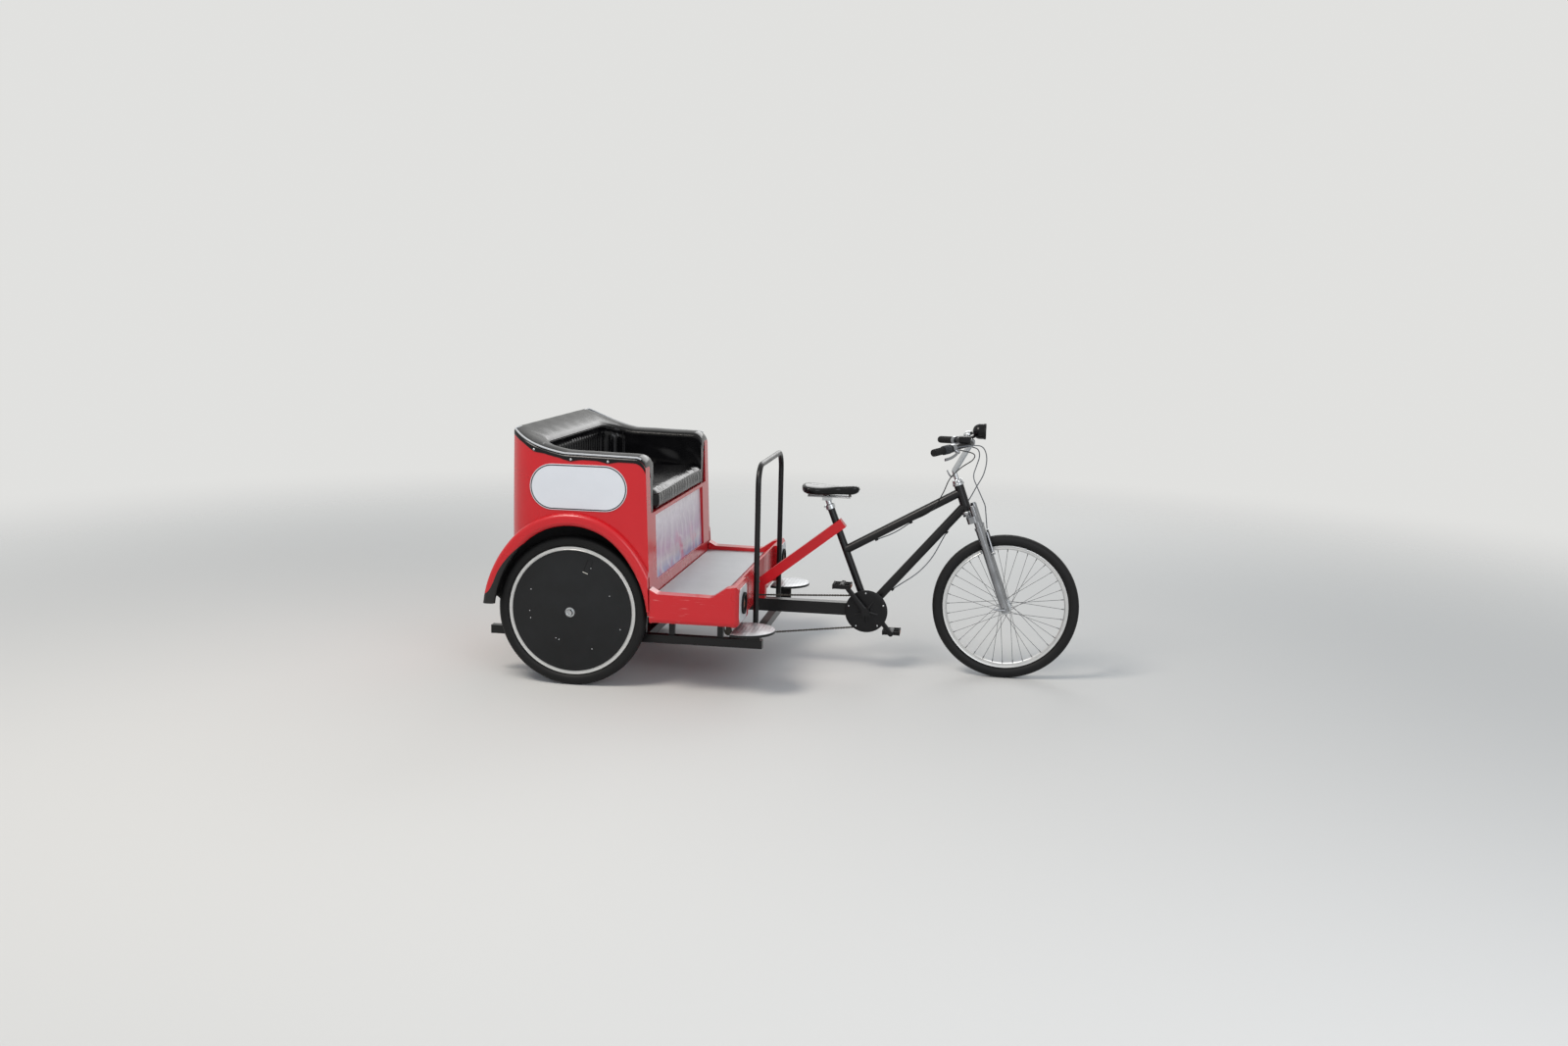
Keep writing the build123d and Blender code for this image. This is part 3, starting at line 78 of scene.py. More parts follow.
ahead = Vector((-math.sin(EYE_YAW), math.cos(EYE_YAW), 0))
across = Vector((math.cos(EYE_YAW), math.sin(EYE_YAW), 0))
plumb = Vector((0, 0, 1))
sight = ahead * math.cos(EYE_PITCH) - plumb * math.sin(EYE_PITCH)
upright = plumb * math.cos(EYE_PITCH) + ahead * math.sin(EYE_PITCH)
cam_x = across * math.cos(EYE_ROLL) + upright * math.sin(EYE_ROLL)
cam_y = upright * math.cos(EYE_ROLL) - across * math.sin(EYE_ROLL)

camera_data = bpy.data.cameras.new("camera")
camera_data.lens = LENS_MM
camera_data.sensor_width = 36
camera = new_object("camera", camera_data)
eye = Vector((REAR_AXLE.x + EYE_AHEAD_OF_AXLE, EYE_SIDE, EYE_HEIGHT))
turn = Matrix((cam_x, cam_y, -sight)).transposed().to_4x4()
camera.matrix_world = Matrix.Translation(eye) @ turn
bpy.context.scene.camera = camera
bpy.context.scene.view_settings.view_transform = "Standard"


def linear(code):
    """An sRGB hex colour as linear RGBA."""
    srgb = np.array([int(code[i:i + 2], 16) for i in (1, 3, 5)]) / 255
    rgb = np.where(srgb <= 0.04045, srgb / 12.92, ((srgb + 0.055) / 1.055) ** 2.4)
    return (*rgb.tolist(), 1.0)


def add(tree, kind, inputs=None, **settings):
    """A shader node with its settings, its inputs set to values or linked to sockets."""
    node = tree.nodes.new(kind)
    for name, value in settings.items():
        setattr(node, name, value)
    for key, value in (inputs or {}).items():
        if isinstance(value, bpy.types.NodeSocket):
            tree.links.new(value, node.inputs[key])
        else:
            node.inputs[key].default_value = value
    return node


def maths(tree, operation, *values):
    """Result of a maths node over values or sockets."""
    return add(tree, "ShaderNodeMath", dict(enumerate(values)), operation=operation).outputs[0]


def new_material(name, **sockets):
    """A material with one Principled shader, whose sockets are set by name."""
    made = bpy.data.materials.new(name)
    made.use_nodes = True
    shader = made.node_tree.nodes["Principled BSDF"]
    for key, value in sockets.items():
        shader.inputs[key.replace("_", " ")].default_value = value
    return made, made.node_tree, shader


FLOOR_TONE = "#D8D7D3"
BACKDROP_TONE = "#ECECEA"
FLOOR_HALF = 14.0
FADE_FROM, FADE_TO = 2.6, 8.0

floor_paint, floor_tree, floor_shader = new_material(
    "studio_floor", Base_Color=linear(FLOOR_TONE), Roughness=0.85, Specular_IOR_Level=0.2)
# The floor fades into the backdrop with the distance from the rickshaw
spot = add(floor_tree, "ShaderNodeTexCoord").outputs["Object"]
far = add(floor_tree, "ShaderNodeVectorMath", {0: spot}, operation="LENGTH").outputs["Value"]
fade = add(floor_tree, "ShaderNodeMapRange",
           {"Value": far, "From Min": FADE_FROM, "From Max": FADE_TO},
           interpolation_type="SMOOTHSTEP").outputs["Result"]
clear = add(floor_tree, "ShaderNodeBsdfTransparent").outputs[0]
faded = add(floor_tree, "ShaderNodeMixShader", {0: fade, 1: floor_shader.outputs[0], 2: clear})
floor_tree.links.new(faded.outputs[0], floor_tree.nodes["Material Output"].inputs["Surface"])
corners = np.array([(-1, -1, 0), (1, -1, 0), (1, 1, 0), (-1, 1, 0)], float) * FLOOR_HALF
floor_mesh = bpy.data.meshes.new("floor")
floor_mesh.from_pydata(corners.tolist(), [], [(0, 1, 2, 3)])
floor_mesh.materials.append(floor_paint)
new_object("floor", floor_mesh)

world = bpy.data.worlds.new("studio_air")
bpy.context.scene.world = world
world.use_nodes = True
air = world.node_tree
air.nodes.clear()
rays = add(air, "ShaderNodeLightPath").outputs
seen = maths(air, "MAXIMUM", rays["Is Camera Ray"], rays["Is Glossy Ray"])
seen = maths(air, "MAXIMUM", seen, rays["Is Transmission Ray"])
glow = add(air, "ShaderNodeBackground", {"Color": linear("#DCE6F2"), "Strength": 0.5})
plain = add(air, "ShaderNodeBackground", {"Color": linear(BACKDROP_TONE), "Strength": 0.9})
both = add(air, "ShaderNodeMixShader", {0: seen, 1: glow.outputs[0], 2: plain.outputs[0]})
add(air, "ShaderNodeOutputWorld", {"Surface": both.outputs[0]})


def lamp(name, place, size, power, tint):
    """A square soft lamp that points at the middle of the rickshaw."""
    data = bpy.data.lights.new(name, "AREA")
    data.shape = "SQUARE"
    data.size = size
    data.energy = power
    data.color = linear(tint)[:3]
    light = new_object(name, data)
    light.location = place
    light.rotation_mode = "QUATERNION"
    light.rotation_quaternion = (Vector((0, 0, 0.5)) - Vector(place)).to_track_quat("-Z", "Y")


lamp("key", (-2.6, -3.2, 5.8), 2.2, 250, "#FFF8F0")
lamp("front_fill", (3.2, -5.2, 2.8), 3.4, 110, "#F4F7FF")
lamp("back_fill", (0.5, 5.5, 3.6), 3.5, 90, "#FFFFFF")

# Moulded tub and footwell, glass fibre with a red gelcoat sprayed in the mould: glossy and
# a little wavy, in two close reds that blend in soft clouds.


def spot_on(tree):
    """The place on the object, in metres."""
    return add(tree, "ShaderNodeTexCoord").outputs["Object"]


def noise(tree, spot, scale, detail):
    """Noise with so many blotches a metre."""
    return add(tree, "ShaderNodeTexNoise",
               {"Vector": spot, "Scale": scale, "Detail": detail}).outputs["Fac"]


def ranged(tree, value, low, high, to_low=0.0, to_high=1.0):
    """A value carried from the range low..high to to_low..to_high and held inside it."""
    return add(tree, "ShaderNodeMapRange",
               {"Value": value, "From Min": low, "From Max": high,
                "To Min": to_low, "To Max": to_high}).outputs["Result"]


def mixed(tree, share, one, other):
    """Two colours, each a hex code or a socket, blended by the share of the other."""
    one, other = (linear(tone) if isinstance(tone, str) else tone for tone in (one, other))
    return add(tree, "ShaderNodeMix", {0: share, 6: one, 7: other}, data_type="RGBA").outputs[2]


def worn(name, dark, pale, grain, rough, relief, **sockets):
    """A finish of two tones that blend over blotches of grain metres, with roughness from
    rough[0] to rough[1] over the same blotches and a fine relief a tenth of their size."""
    made, tree, shader = new_material(name, **sockets)
    spot = spot_on(tree)
    blotch = noise(tree, spot, 1 / grain, 6.0)
    bump = add(tree, "ShaderNodeBump", {"Height": noise(tree, spot, 10 / grain, 3.0),
                                        "Distance": relief, "Strength": 0.6})
    tree.links.new(mixed(tree, blotch, dark, pale), shader.inputs["Base Color"])
    tree.links.new(ranged(tree, blotch, 0.0, 1.0, *rough), shader.inputs["Roughness"])
    tree.links.new(bump.outputs["Normal"], shader.inputs["Normal"])
    return made


def dress(material, *nodes):
    """Gives CAD nodes that stay visible their material."""
    for node in nodes:
        mesh = cad[node].data
        mesh.materials.clear()
        mesh.materials.append(material)


gelcoat = worn("red_gelcoat", "#BA101A", "#CC1822", 0.45, (0.22, 0.34), 0.00002,
               Coat_Weight=0.25, Coat_Roughness=0.08, Specular_IOR_Level=0.4)


def gelcoat_copy(name):
    """A second gelcoat: its node tree, its colour socket, the red that feeds the socket and
    the place on the object."""
    copy = gelcoat.copy()
    copy.name = name
    tree = copy.node_tree
    colour = tree.nodes["Principled BSDF"].inputs["Base Color"]
    return copy, tree, colour, colour.links[0].from_socket, spot_on(tree)


# The tail of each flare is coloured black on its outer lip and its low tip, so the red
# narrows to a point there. A curve gives the line between them: how far ahead it lies at
# each height, both as shares of the spans below.
TAIL_Z = (0.362, 0.650)
TAIL_X = (REAR_AXLE.x - 0.40, REAR_AXLE.x - 0.18)
TIP_BELOW_Z, TIP_BEHIND_X = 0.400, REAR_AXLE.x - 0.31
LIP_FROM_Y = 0.642
TAIL_LINE = ((0.142, 0.10), (0.198, 0.186), (0.326, 0.282), (0.490, 0.373), (0.653, 0.509),
             (0.851, 0.75))
tailed, tree, colour, clean_red, spot = gelcoat_copy("gelcoat_with_rubber_tail")
axes = add(tree, "ShaderNodeSeparateXYZ", {"Vector": spot}).outputs
fore = ranged(tree, axes["X"], *TAIL_X)
edge_line = add(tree, "ShaderNodeFloatCurve", {"Value": ranged(tree, axes["Z"], *TAIL_Z)})
curve = edge_line.mapping.curves[0]
curve.points[0].location = (0.0, 0.0)
curve.points[1].location = (1.0, 1.0)
for shares in TAIL_LINE:
    curve.points.new(*shares)
edge_line.mapping.update()
past = maths(tree, "GREATER_THAN", fore, edge_line.outputs[0])
behind = maths(tree, "LESS_THAN", fore, 0.99)
on_lip = maths(tree, "GREATER_THAN", maths(tree, "ABSOLUTE", axes["Y"]), LIP_FROM_Y)
lip = maths(tree, "MULTIPLY", maths(tree, "MULTIPLY", past, behind), on_lip)
tip = maths(tree, "MULTIPLY", maths(tree, "LESS_THAN", axes["Z"], TIP_BELOW_Z),
            maths(tree, "LESS_THAN", axes["X"], TIP_BEHIND_X))
black_tail = maths(tree, "MAXIMUM", lip, tip)
tree.links.new(mixed(tree, black_tail, clean_red, "#0A0A0B"), colour)
dress(tailed, "cab_shell")

# The pan takes the kicks and scrapes: the same gelcoat, with pale scratches that run along
# the vehicle and show in patches.
scuffed, tree, colour, clean_red, spot = gelcoat_copy("scuffed_gelcoat")
drawn = add(tree, "ShaderNodeMapping", {"Vector": spot, "Scale": (9.0, 9.0, 230.0)}).outputs[0]
thin = ranged(tree, noise(tree, drawn, 1.0, 3.0), 0.63, 0.68)
patch = ranged(tree, noise(tree, spot, 6.0, 4.0), 0.50, 0.62, to_high=0.75)
scratch = maths(tree, "MULTIPLY", thin, patch)
tree.links.new(mixed(tree, scratch, clean_red, "#E2B5B2"), colour)
dress(scuffed, "floor_pan")

# Tube frame, boom, axle housing and steps: welded steel tube and plate under gloss black
# paint, with the diagonal stay in red. The cables slung from stop to stop under the tubes
# run in grey plastic sheaths.
black_paint = worn("black_paint", "#070708", "#101012", 0.12, (0.25, 0.4), 0.00006,
                   Specular_IOR_Level=0.35)
red_paint = worn("red_paint", "#B3121B", "#C51A24", 0.10, (0.25, 0.4), 0.00006,
                 Specular_IOR_Level=0.4)
grey_cable = worn("grey_cable_sheath", "#55585C", "#6A6D71", 0.02, (0.4, 0.55), 0.00004)
dress(grey_cable, "frame_cables", "front_brake_cable")
dress(black_paint, "underframe", "axle_housing", "boom", "head_tube", "seat_tube", "top_tube",
      "down_tube", "grab_hoop", "step_left", "step_right")
dress(red_paint, "diagonal_stay")

# Fittings that show as modelled: rubber grommets and hand grips, the oiled steel tensioner,
# clamps, stem and headset cups of polished alloy, a black alloy handlebar, the alloy fork
# with its rim brake and levers, and the moulded bodies of headlight and bar fittings.
rubber = worn("black_rubber", "#0E0E0E", "#1A1A1A", 0.02, (0.6, 0.8), 0.0001,
              Specular_IOR_Level=0.25)
steel = worn("oiled_steel", "#3E3A36", "#5C5852", 0.01, (0.35, 0.5), 0.0001, Metallic=1.0)
alloy = worn("polished_alloy", "#A9ACAF", "#C9CCCE", 0.05, (0.2, 0.34), 0.0001, Metallic=1.0)
black_alloy = worn("black_alloy", "#0A0A0B", "#141416", 0.03, (0.3, 0.42), 0.00006,
                   Specular_IOR_Level=0.3)
black_plastic = worn("black_plastic", "#0A0A0B", "#131315", 0.05, (0.35, 0.5), 0.0001,
                     Specular_IOR_Level=0.25)
fork_alloy = worn("fork_alloy", "#77797C", "#A3A5A8", 0.06, (0.14, 0.26), 0.00004, Metallic=1.0)
dress(rubber, "lamp_grommets", "grips")
dress(steel, "chain_tensioner")
dress(alloy, "headset_cups", "seat_clamp", "seat_post", "stem")
dress(black_alloy, "handlebar")
dress(fork_alloy, "fork_crown", "fork_lowers", "front_brake", "brake_levers", "front_axle")
dress(black_plastic, "headlight", "bar_fittings")

# Rubber tyres on all three wheels: 26 inch street tyres, moulded, with a smooth crown cut
# by two rings and short slanted grooves, and a sidewall that comes down over the rim.
AXLE_H = REAR_AXLE.z
TYRE_MID_R = 0.311
TYRE_HALF_W = 0.027
TYRE_HALF_H = 0.024
TREAD_STEPS = 408
TREAD_DEPTH = 0.0012
CROWN_HALF = 0.0195
RING_AT, RING_HALF_W = 0.0065, 0.0009
GROOVES_FROM = 0.0085
tyre_rubber = worn("tyre_rubber", "#0C0C0D", "#191919", 0.03, (0.5, 0.65), 0.0001,
                   Specular_IOR_Level=0.25)


def lattice(points, round_u=False, round_v=False):
    """Grid of points, rows by columns, as (points, four-sided faces), closed in a
    direction that is round."""
    rows, columns = points.shape[:2]
    index = np.arange(rows * columns).reshape(rows, columns)
    if round_u:
        index = np.vstack([index, index[:1]])
    if round_v:
        index = np.hstack([index, index[:, :1]])
    faces = np.stack([index[:-1, :-1], index[1:, :-1], index[1:, 1:], index[:-1, 1:]], -1)
    return points.reshape(-1, 3), faces.reshape(-1, 4)


def joined(*shapes):
    """Several shapes as one."""
    counts = np.cumsum([0] + [len(points) for points, faces in shapes])
    return (np.vstack([points for points, faces in shapes]),
            np.vstack([faces + start for (points, faces), start in zip(shapes, counts)]))


def moved(shape, place=(0, 0, 0), turned=None):
    """A shape turned by a 3 by 3 matrix and then moved."""
    points, faces = shape
    if turned is not None:
        points = points @ np.array(turned, float).T
    return points + np.array(place, float), faces


def make(name, shape, finish, body, stands_for=(), sharp=38):
    """One piece of the object: doubles merged, faces turned outwards, and smooth but for
    edges sharper than so many degrees."""
    points, faces = shape
    mesh = bpy.data.meshes.new(name)
    mesh.from_pydata(points.tolist(), [], faces.tolist())
    clean = bmesh.new()
    clean.from_mesh(mesh)
    bmesh.ops.remove_doubles(clean, verts=clean.verts, dist=2e-5)
    bmesh.ops.recalc_face_normals(clean, faces=clean.faces)
    clean.to_mesh(mesh)
    clean.free()
    mesh.shade_smooth()
    mesh.set_sharp_from_angle(angle=math.radians(sharp))
    mesh.materials.append(finish)
    made = new_object(name, mesh)
    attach(made, body)
    if stands_for:
        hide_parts(*stands_for)
    return made


def squared(wave, power):
    """A sine or cosine with its corners squared by a power, its sign kept."""
    return np.sign(wave) * np.abs(wave) ** power


def tyre_shape():
    """Section of half width a and half height b whose corners are squared by a power:
    radius = middle + b sin(v)^0.85, across = a cos(v)^0.8, carried round the wheel, with
    the crown lowered by 1.2 mm where the rings and the slanted grooves run."""
    spin_at = np.arange(TREAD_STEPS) * 2 * np.pi / TREAD_STEPS
    v = np.concatenate([np.linspace(0.32, np.pi - 0.32, 40),
                        np.linspace(np.pi - 0.2, 2 * np.pi + 0.2, 20)])
    c, s = np.cos(v), np.sin(v)
    across = TYRE_HALF_W * squared(c, 0.8)
    radius = TYRE_MID_R + TYRE_HALF_H * squared(s, 0.85)
    on_crown = (s > 0) & (np.abs(across) < CROWN_HALF)
    ring = np.abs(np.abs(across) - RING_AT) < RING_HALF_W
    row = np.arange(TREAD_STEPS)[:, None]
    slant = np.round(np.abs(across) / 0.0035).astype(int)[None]
    groove = ((row + slant) % 6 == 0) & (np.abs(across)[None] > GROOVES_FROM)
    r = radius[None] - TREAD_DEPTH * (on_crown[None] & (ring[None] | groove))
    points = np.stack([np.sin(spin_at)[:, None] * r, np.broadcast_to(across, r.shape),
                       np.cos(spin_at)[:, None] * r], -1)
    return lattice(points, True, True)


def spin(profile, steps=96, closed=False):
    """A profile of (radius, along Y) carried once round the Y axis."""
    at = np.arange(steps) * 2 * np.pi / steps
    r, y = np.asarray(profile, float).T
    points = np.stack([np.outer(np.sin(at), r), np.broadcast_to(y, (steps, len(y))),
                       np.outer(np.cos(at), r)], -1)
    return lattice(points, True, closed)


def mirrored(shape):
    """The same shape on the other side of the middle plane."""
    points, faces = shape
    return points * [1, -1, 1], faces


WHEELS = (("front", (FRONT_AXLE.x, 0, AXLE_H), "front_wheel", 0),
          ("rear_left", (REAR_AXLE.x, REAR_AXLE.y * -1, AXLE_H), "rear_wheel_left", 1),
          ("rear_right", (REAR_AXLE.x, REAR_AXLE.y, AXLE_H), "rear_wheel_right", -1))
tyre_form = tyre_shape()
for wheel, place, body, hand in WHEELS:
    make("tyre_" + wheel + "_dressed", moved(tyre_form, place), tyre_rubber, body,
         ("tyre_" + wheel,))

# Rims: extruded aluminium bent to a hoop, with hooked edges, a machined brake track on
# each side and a shallow well for the spoke nipples.
RIM_PROFILE = [(0.2867, 0.0160), (0.2867, 0.0140), (0.2835, 0.0132), (0.2790, 0.0132),
               (0.2770, 0.0080), (0.2770, -0.0080), (0.2790, -0.0132), (0.2835, -0.0132),
               (0.2867, -0.0140), (0.2867, -0.0160), (0.2852, -0.0163), (0.2842, -0.0158),
               (0.2752, -0.0156), (0.2742, -0.0163), (0.2722, -0.0160), (0.2690, -0.0120),
               (0.2680, -0.0070), (0.2678, 0.0), (0.2680, 0.0070), (0.2690, 0.0120),
               (0.2722, 0.0160), (0.2742, 0.0163), (0.2752, 0.0156), (0.2842, 0.0158),
               (0.2852, 0.0163)]
rim_form = spin(RIM_PROFILE, 180, closed=True)
rim_alloy = worn("brushed_rim", "#C9CACA", "#DEDEDC", 0.05, (0.28, 0.42), 0.00005, Metallic=0.9)
for wheel, place, body, hand in WHEELS:
    make("rim_" + wheel + "_dressed", moved(rim_form, place), rim_alloy, body,
         ("rim_" + wheel,), sharp=30)


# Spokes and hubs: turned hub shells with two drilled flanges and 36 steel spokes of 2 mm
# that cross three times, each screwed into a nipple of the same dark steel at the rim.
SPOKES = 36
HOLES_OFF = 3
SPOKE_R, NIPPLE_R, NIPPLE_L = 0.0010, 0.0019, 0.013
NIPPLE_AT = 0.2685


def carried(path):
    """Directions along, beside and above a path at each of its points, without twist."""
    path = np.asarray(path, float)
    along = np.gradient(path, axis=0)
    along /= np.linalg.norm(along, axis=1, keepdims=True)
    beside = np.zeros_like(along)
    seed = np.eye(3)[np.argmin(np.abs(along[0]))]
    for k, forward in enumerate(along):
        seed = seed - forward * (seed @ forward)
        seed = seed / np.linalg.norm(seed)
        beside[k] = seed
    return along, beside, np.cross(along, beside)


def capped(rings):
    """Rings joined to a skin whose two ends are drawn to their middles."""
    ends = [np.repeat(rings[k].mean(0)[None, None], rings.shape[1], 1) for k in (0, -1)]
    return lattice(np.concatenate([ends[0], rings, ends[1]]), False, True)


def tube(path, radius, sides=12):
    """A ring of points carried along a path; radius is one number or one a point."""
    path = np.asarray(path, float)
    _, beside, above = carried(path)
    at = np.arange(sides) * 2 * np.pi / sides
    size = np.broadcast_to(np.asarray(radius, float), (len(path),))[:, None, None]
    ring = (beside[:, None] * np.cos(at)[None, :, None]
            + above[:, None] * np.sin(at)[None, :, None])
    return capped(path[:, None] + size * ring)


def spoke_set(flange_y, flange_r):
    """Spokes from the flanges to the rim: each starts three holes before or after the
    place where it meets the rim."""
    strands = []
    for k in range(SPOKES):
        rim_at = 2 * math.pi * k / SPOKES
        side = 1 if k % 2 else -1
        lead = 1 if (k // 2) % 2 else -1
        hub_at = rim_at + lead * HOLES_OFF * 4 * math.pi / SPOKES * 0.93
        foot = np.array([flange_r * math.sin(hub_at), side * flange_y,
                         flange_r * math.cos(hub_at)])
        out = np.array([math.sin(rim_at), 0, math.cos(rim_at)])
        head = NIPPLE_AT * out + [0, side * 0.002, 0]
        back = head + (foot - head) / np.linalg.norm(foot - head) * NIPPLE_L
        strands.append(tube([foot, (foot + back) / 2, back], SPOKE_R, 6))
        strands.append(tube([back, head], NIPPLE_R, 6))
    return joined(*strands)


spoke_steel = worn("spoke_steel", "#3C3D3F", "#5A5B5E", 0.03, (0.35, 0.5), 0.00002,
                   Metallic=1.0)
FRONT_HUB = [(0.0046, -0.050), (0.0085, -0.050), (0.0085, -0.042), (0.0150, -0.040),
             (0.0170, -0.037), (0.0290, -0.0355), (0.0295, -0.0340), (0.0290, -0.0325),
             (0.0170, -0.031), (0.0130, -0.024), (0.0118, 0.0), (0.0130, 0.024),
             (0.0170, 0.031), (0.0290, 0.0325), (0.0295, 0.0340), (0.0290, 0.0355),
             (0.0170, 0.037), (0.0150, 0.040), (0.0085, 0.042), (0.0085, 0.050),
             (0.0046, 0.050)]
REAR_HUB = [(0.0120, -0.148), (0.0125, -0.147), (0.0125, -0.060), (0.0200, -0.0597),
            (0.0200, -0.0340), (0.0290, -0.0310), (0.0295, -0.0295), (0.0290, -0.0280),
            (0.0200, -0.0260), (0.0180, -0.0200), (0.0180, 0.0200), (0.0200, 0.0240),
            (0.0290, 0.0260), (0.0295, 0.0275), (0.0290, 0.0290), (0.0200, 0.0320),
            (0.0198, 0.0400)]
NUT = [(0.0, 0.0560), (0.0065, 0.0560), (0.0075, 0.0620), (0.0135, 0.0640), (0.0150, 0.0620),
       (0.0155, 0.0470), (0.0215, 0.0465), (0.0215, 0.0440), (0.0, 0.0440)]
for wheel, place, body, hand in WHEELS:
    if hand:
        hub = joined(spin(REAR_HUB, 48), spin([(0.0, -0.148), (0.0120, -0.148)], 48),
                     spin([(0.0198, 0.0400), (0.0, 0.0400)], 48), spin(NUT, 24))
        hub = hub if hand > 0 else mirrored(hub)
        spokes = spoke_set(0.0295, 0.0250)
    else:
        hub = spin(FRONT_HUB, 48, closed=True)
        spokes = spoke_set(0.0340, 0.0250)
    make("spokes_" + wheel, moved(spokes, place), spoke_steel, body)
    make("hub_" + wheel + "_dressed", moved(hub, place), alloy, body,
         ("hub_" + wheel,))

# Wheel discs of the rear wheels: black plastic, pressed to a shallow dish, held to the
# spokes by pairs of small screws, with a slot for the valve that has a pale lip.
DISC_R = 0.2705
VALVE_TURN = math.radians(20)
VALVE_R = 0.218
disc_sheet = [(0.0203, 0.0438), (0.0400, 0.0437), (0.0600, 0.0432), (0.1200, 0.0358),
              (0.2000, 0.0255), (0.2560, 0.0184), (0.2660, 0.0181), (DISC_R, 0.0184),
              (DISC_R, 0.0167), (0.2660, 0.0165), (0.2560, 0.0168), (0.2000, 0.0238),
              (0.1200, 0.0341), (0.0600, 0.0415), (0.0400, 0.0421), (0.0203, 0.0423)]
DISC_SCREWS = ((258, 0.190), (268, 0.190), (203, 0.140), (209, 0.140), (108, 0.232),
               (296, 0.205), (24, 0.215), (66, 0.190), (150, 0.190))


def dish_at(r):
    """Height of the disc's outer face at a radius."""
    rs, ys = np.array(disc_sheet[:8]).T
    return float(np.interp(r, rs, ys))


def button(r, h):
    """Low domed screw head of radius r and height h, on the Y axis."""
    t = np.linspace(0, np.pi / 2, 5)
    dome = [(r * math.cos(a), h * math.sin(a)) for a in t[::-1]]
    return spin(dome + [(r, -0.001), (0.0, -0.001)], 12)


screws = []
for at, r in DISC_SCREWS:
    a = math.radians(at)
    screws.append(moved(button(0.0028, 0.0014), (r * math.sin(a), dish_at(r), r * math.cos(a))))
disc_screws = joined(*screws)

# Valve slot: a dark pocket moulded into the disc, which reaches from the rim inwards, with
# a pale plastic lip at its end.
pocket_u = np.linspace(0, 2 * np.pi, 40, endpoint=False)
pocket_out = np.stack([0.013 * squared(np.cos(pocket_u), 0.4),
                       0.030 * squared(np.sin(pocket_u), 0.4)], -1)
tilt = (dish_at(0.262) - dish_at(0.202)) / 0.060


def on_disc(offsets, lift):
    """Points of offsets (across, outwards) about the slot's middle, lifted off the dish."""
    r = VALVE_R + offsets[..., 1]
    x = r * math.sin(VALVE_TURN) + offsets[..., 0] * math.cos(VALVE_TURN)
    z = r * math.cos(VALVE_TURN) - offsets[..., 0] * math.sin(VALVE_TURN)
    y = dish_at(VALVE_R) + tilt * offsets[..., 1] + lift
    return np.stack([x, y, z], -1)


pocket = lattice(np.stack([on_disc(pocket_out * np.array(share), lift) for share, lift in (
    ((1, 1), -0.0004), ((1, 1), 0.0016), ((0.86, 0.93), 0.0018), ((0.80, 0.90), -0.0002),
    ((0, 0), -0.0004))]), False, True)
lip_row = np.stack([np.linspace(-0.0125, 0.0125, 9), np.full(9, -0.0325)], -1)
lip = lattice(np.stack([on_disc(lip_row + [0, out], lift) for out, lift in (
    (0, 0.0), (0, 0.0026), (0.0030, 0.0026), (0.0030, 0.0), (0, 0.0))]))

pale_plastic = worn("pale_plastic", "#B9B7AE", "#D6D4CB", 0.02, (0.4, 0.5), 0.0001)
disc_plastic = worn("smudged_disc", "#070809", "#15171A", 0.07, (0.22, 0.46), 0.0001,
                    Specular_IOR_Level=0.35)
for wheel, place, body, hand in WHEELS[1:]:
    flip = (lambda s: s) if hand > 0 else mirrored
    disc = moved(flip(spin(disc_sheet, 144, closed=True)), place)
    make("disc_" + wheel, disc, disc_plastic, body, ("cover_" + wheel,))
    make("disc_screws_" + wheel, moved(flip(disc_screws), place), alloy, body)
    make("valve_slot_" + wheel, moved(flip(pocket), place), disc_plastic, body)
    make("valve_lip_" + wheel, moved(flip(lip), place), pale_plastic, body)


# Upholstery of the tub: black vinyl sheet over foam. The back is stitched in narrow
# upright pleats under a padded roll, the sides are plain, and the vinyl is drawn over the
# top of the shell and pinned outside along a scalloped hem, with grey piping on the edge.
REAR = REAR_AXLE.x
TUB_HALF = 0.640
TUB_REAR_AT = -0.299
TUB_FRONT_AT = 0.364
TUB_FOOT_Z = 0.340
SIDE_TOP_Z = 1.045
BACK_TOP_Z = 1.140
SEAT_DECK = 0.7806
# The back leans 30 mm over 800 mm of height; this is where its outer face ends on top
LEAN_AT = TUB_REAR_AT + 0.030 * (BACK_TOP_Z - 0.02 - TUB_FOOT_Z) / 0.800
MID_INSET, INNER_INSET = 0.0706, 0.140
PAD_FRONT_AT = TUB_FRONT_AT - 0.026
PAD_SPLIT_AT = -0.070
PAD_LAP = 0.012
HEM_DROP = 0.030
SNAP_PITCH = 0.165
PLEAT = 0.040
VINYL_T = 0.0022
OUTER_CORNER_R, INNER_CORNER_R = 0.170, 0.100
BACK_END_AT, LEVEL_FROM_AT, ROUND_FROM_AT, ROUND_R = -0.269, -0.02, 0.295, 0.045
vinyl = worn("black_vinyl", "#050506", "#0C0C0E", 0.05, (0.16, 0.28), 0.00004,
             Specular_IOR_Level=0.28)


def arc_height(x, p, q, r):
    """Height of the circle through three points p, q, r over x, on the lower branch."""
    (ax, az), (bx, bz), (cx, cz) = p, q, r
    d = 2 * (ax * (bz - cz) + bx * (cz - az) + cx * (az - bz))
    a, b, c = ax ** 2 + az ** 2, bx ** 2 + bz ** 2, cx ** 2 + cz ** 2
    ux = (a * (bz - cz) + b * (cz - az) + c * (az - bz)) / d
    uz = (a * (cx - bx) + b * (ax - cx) + c * (bx - ax)) / d
    size = math.hypot(ax - ux, az - uz)
    return uz - np.sqrt(np.maximum(size ** 2 - (x - ux) ** 2, 0))


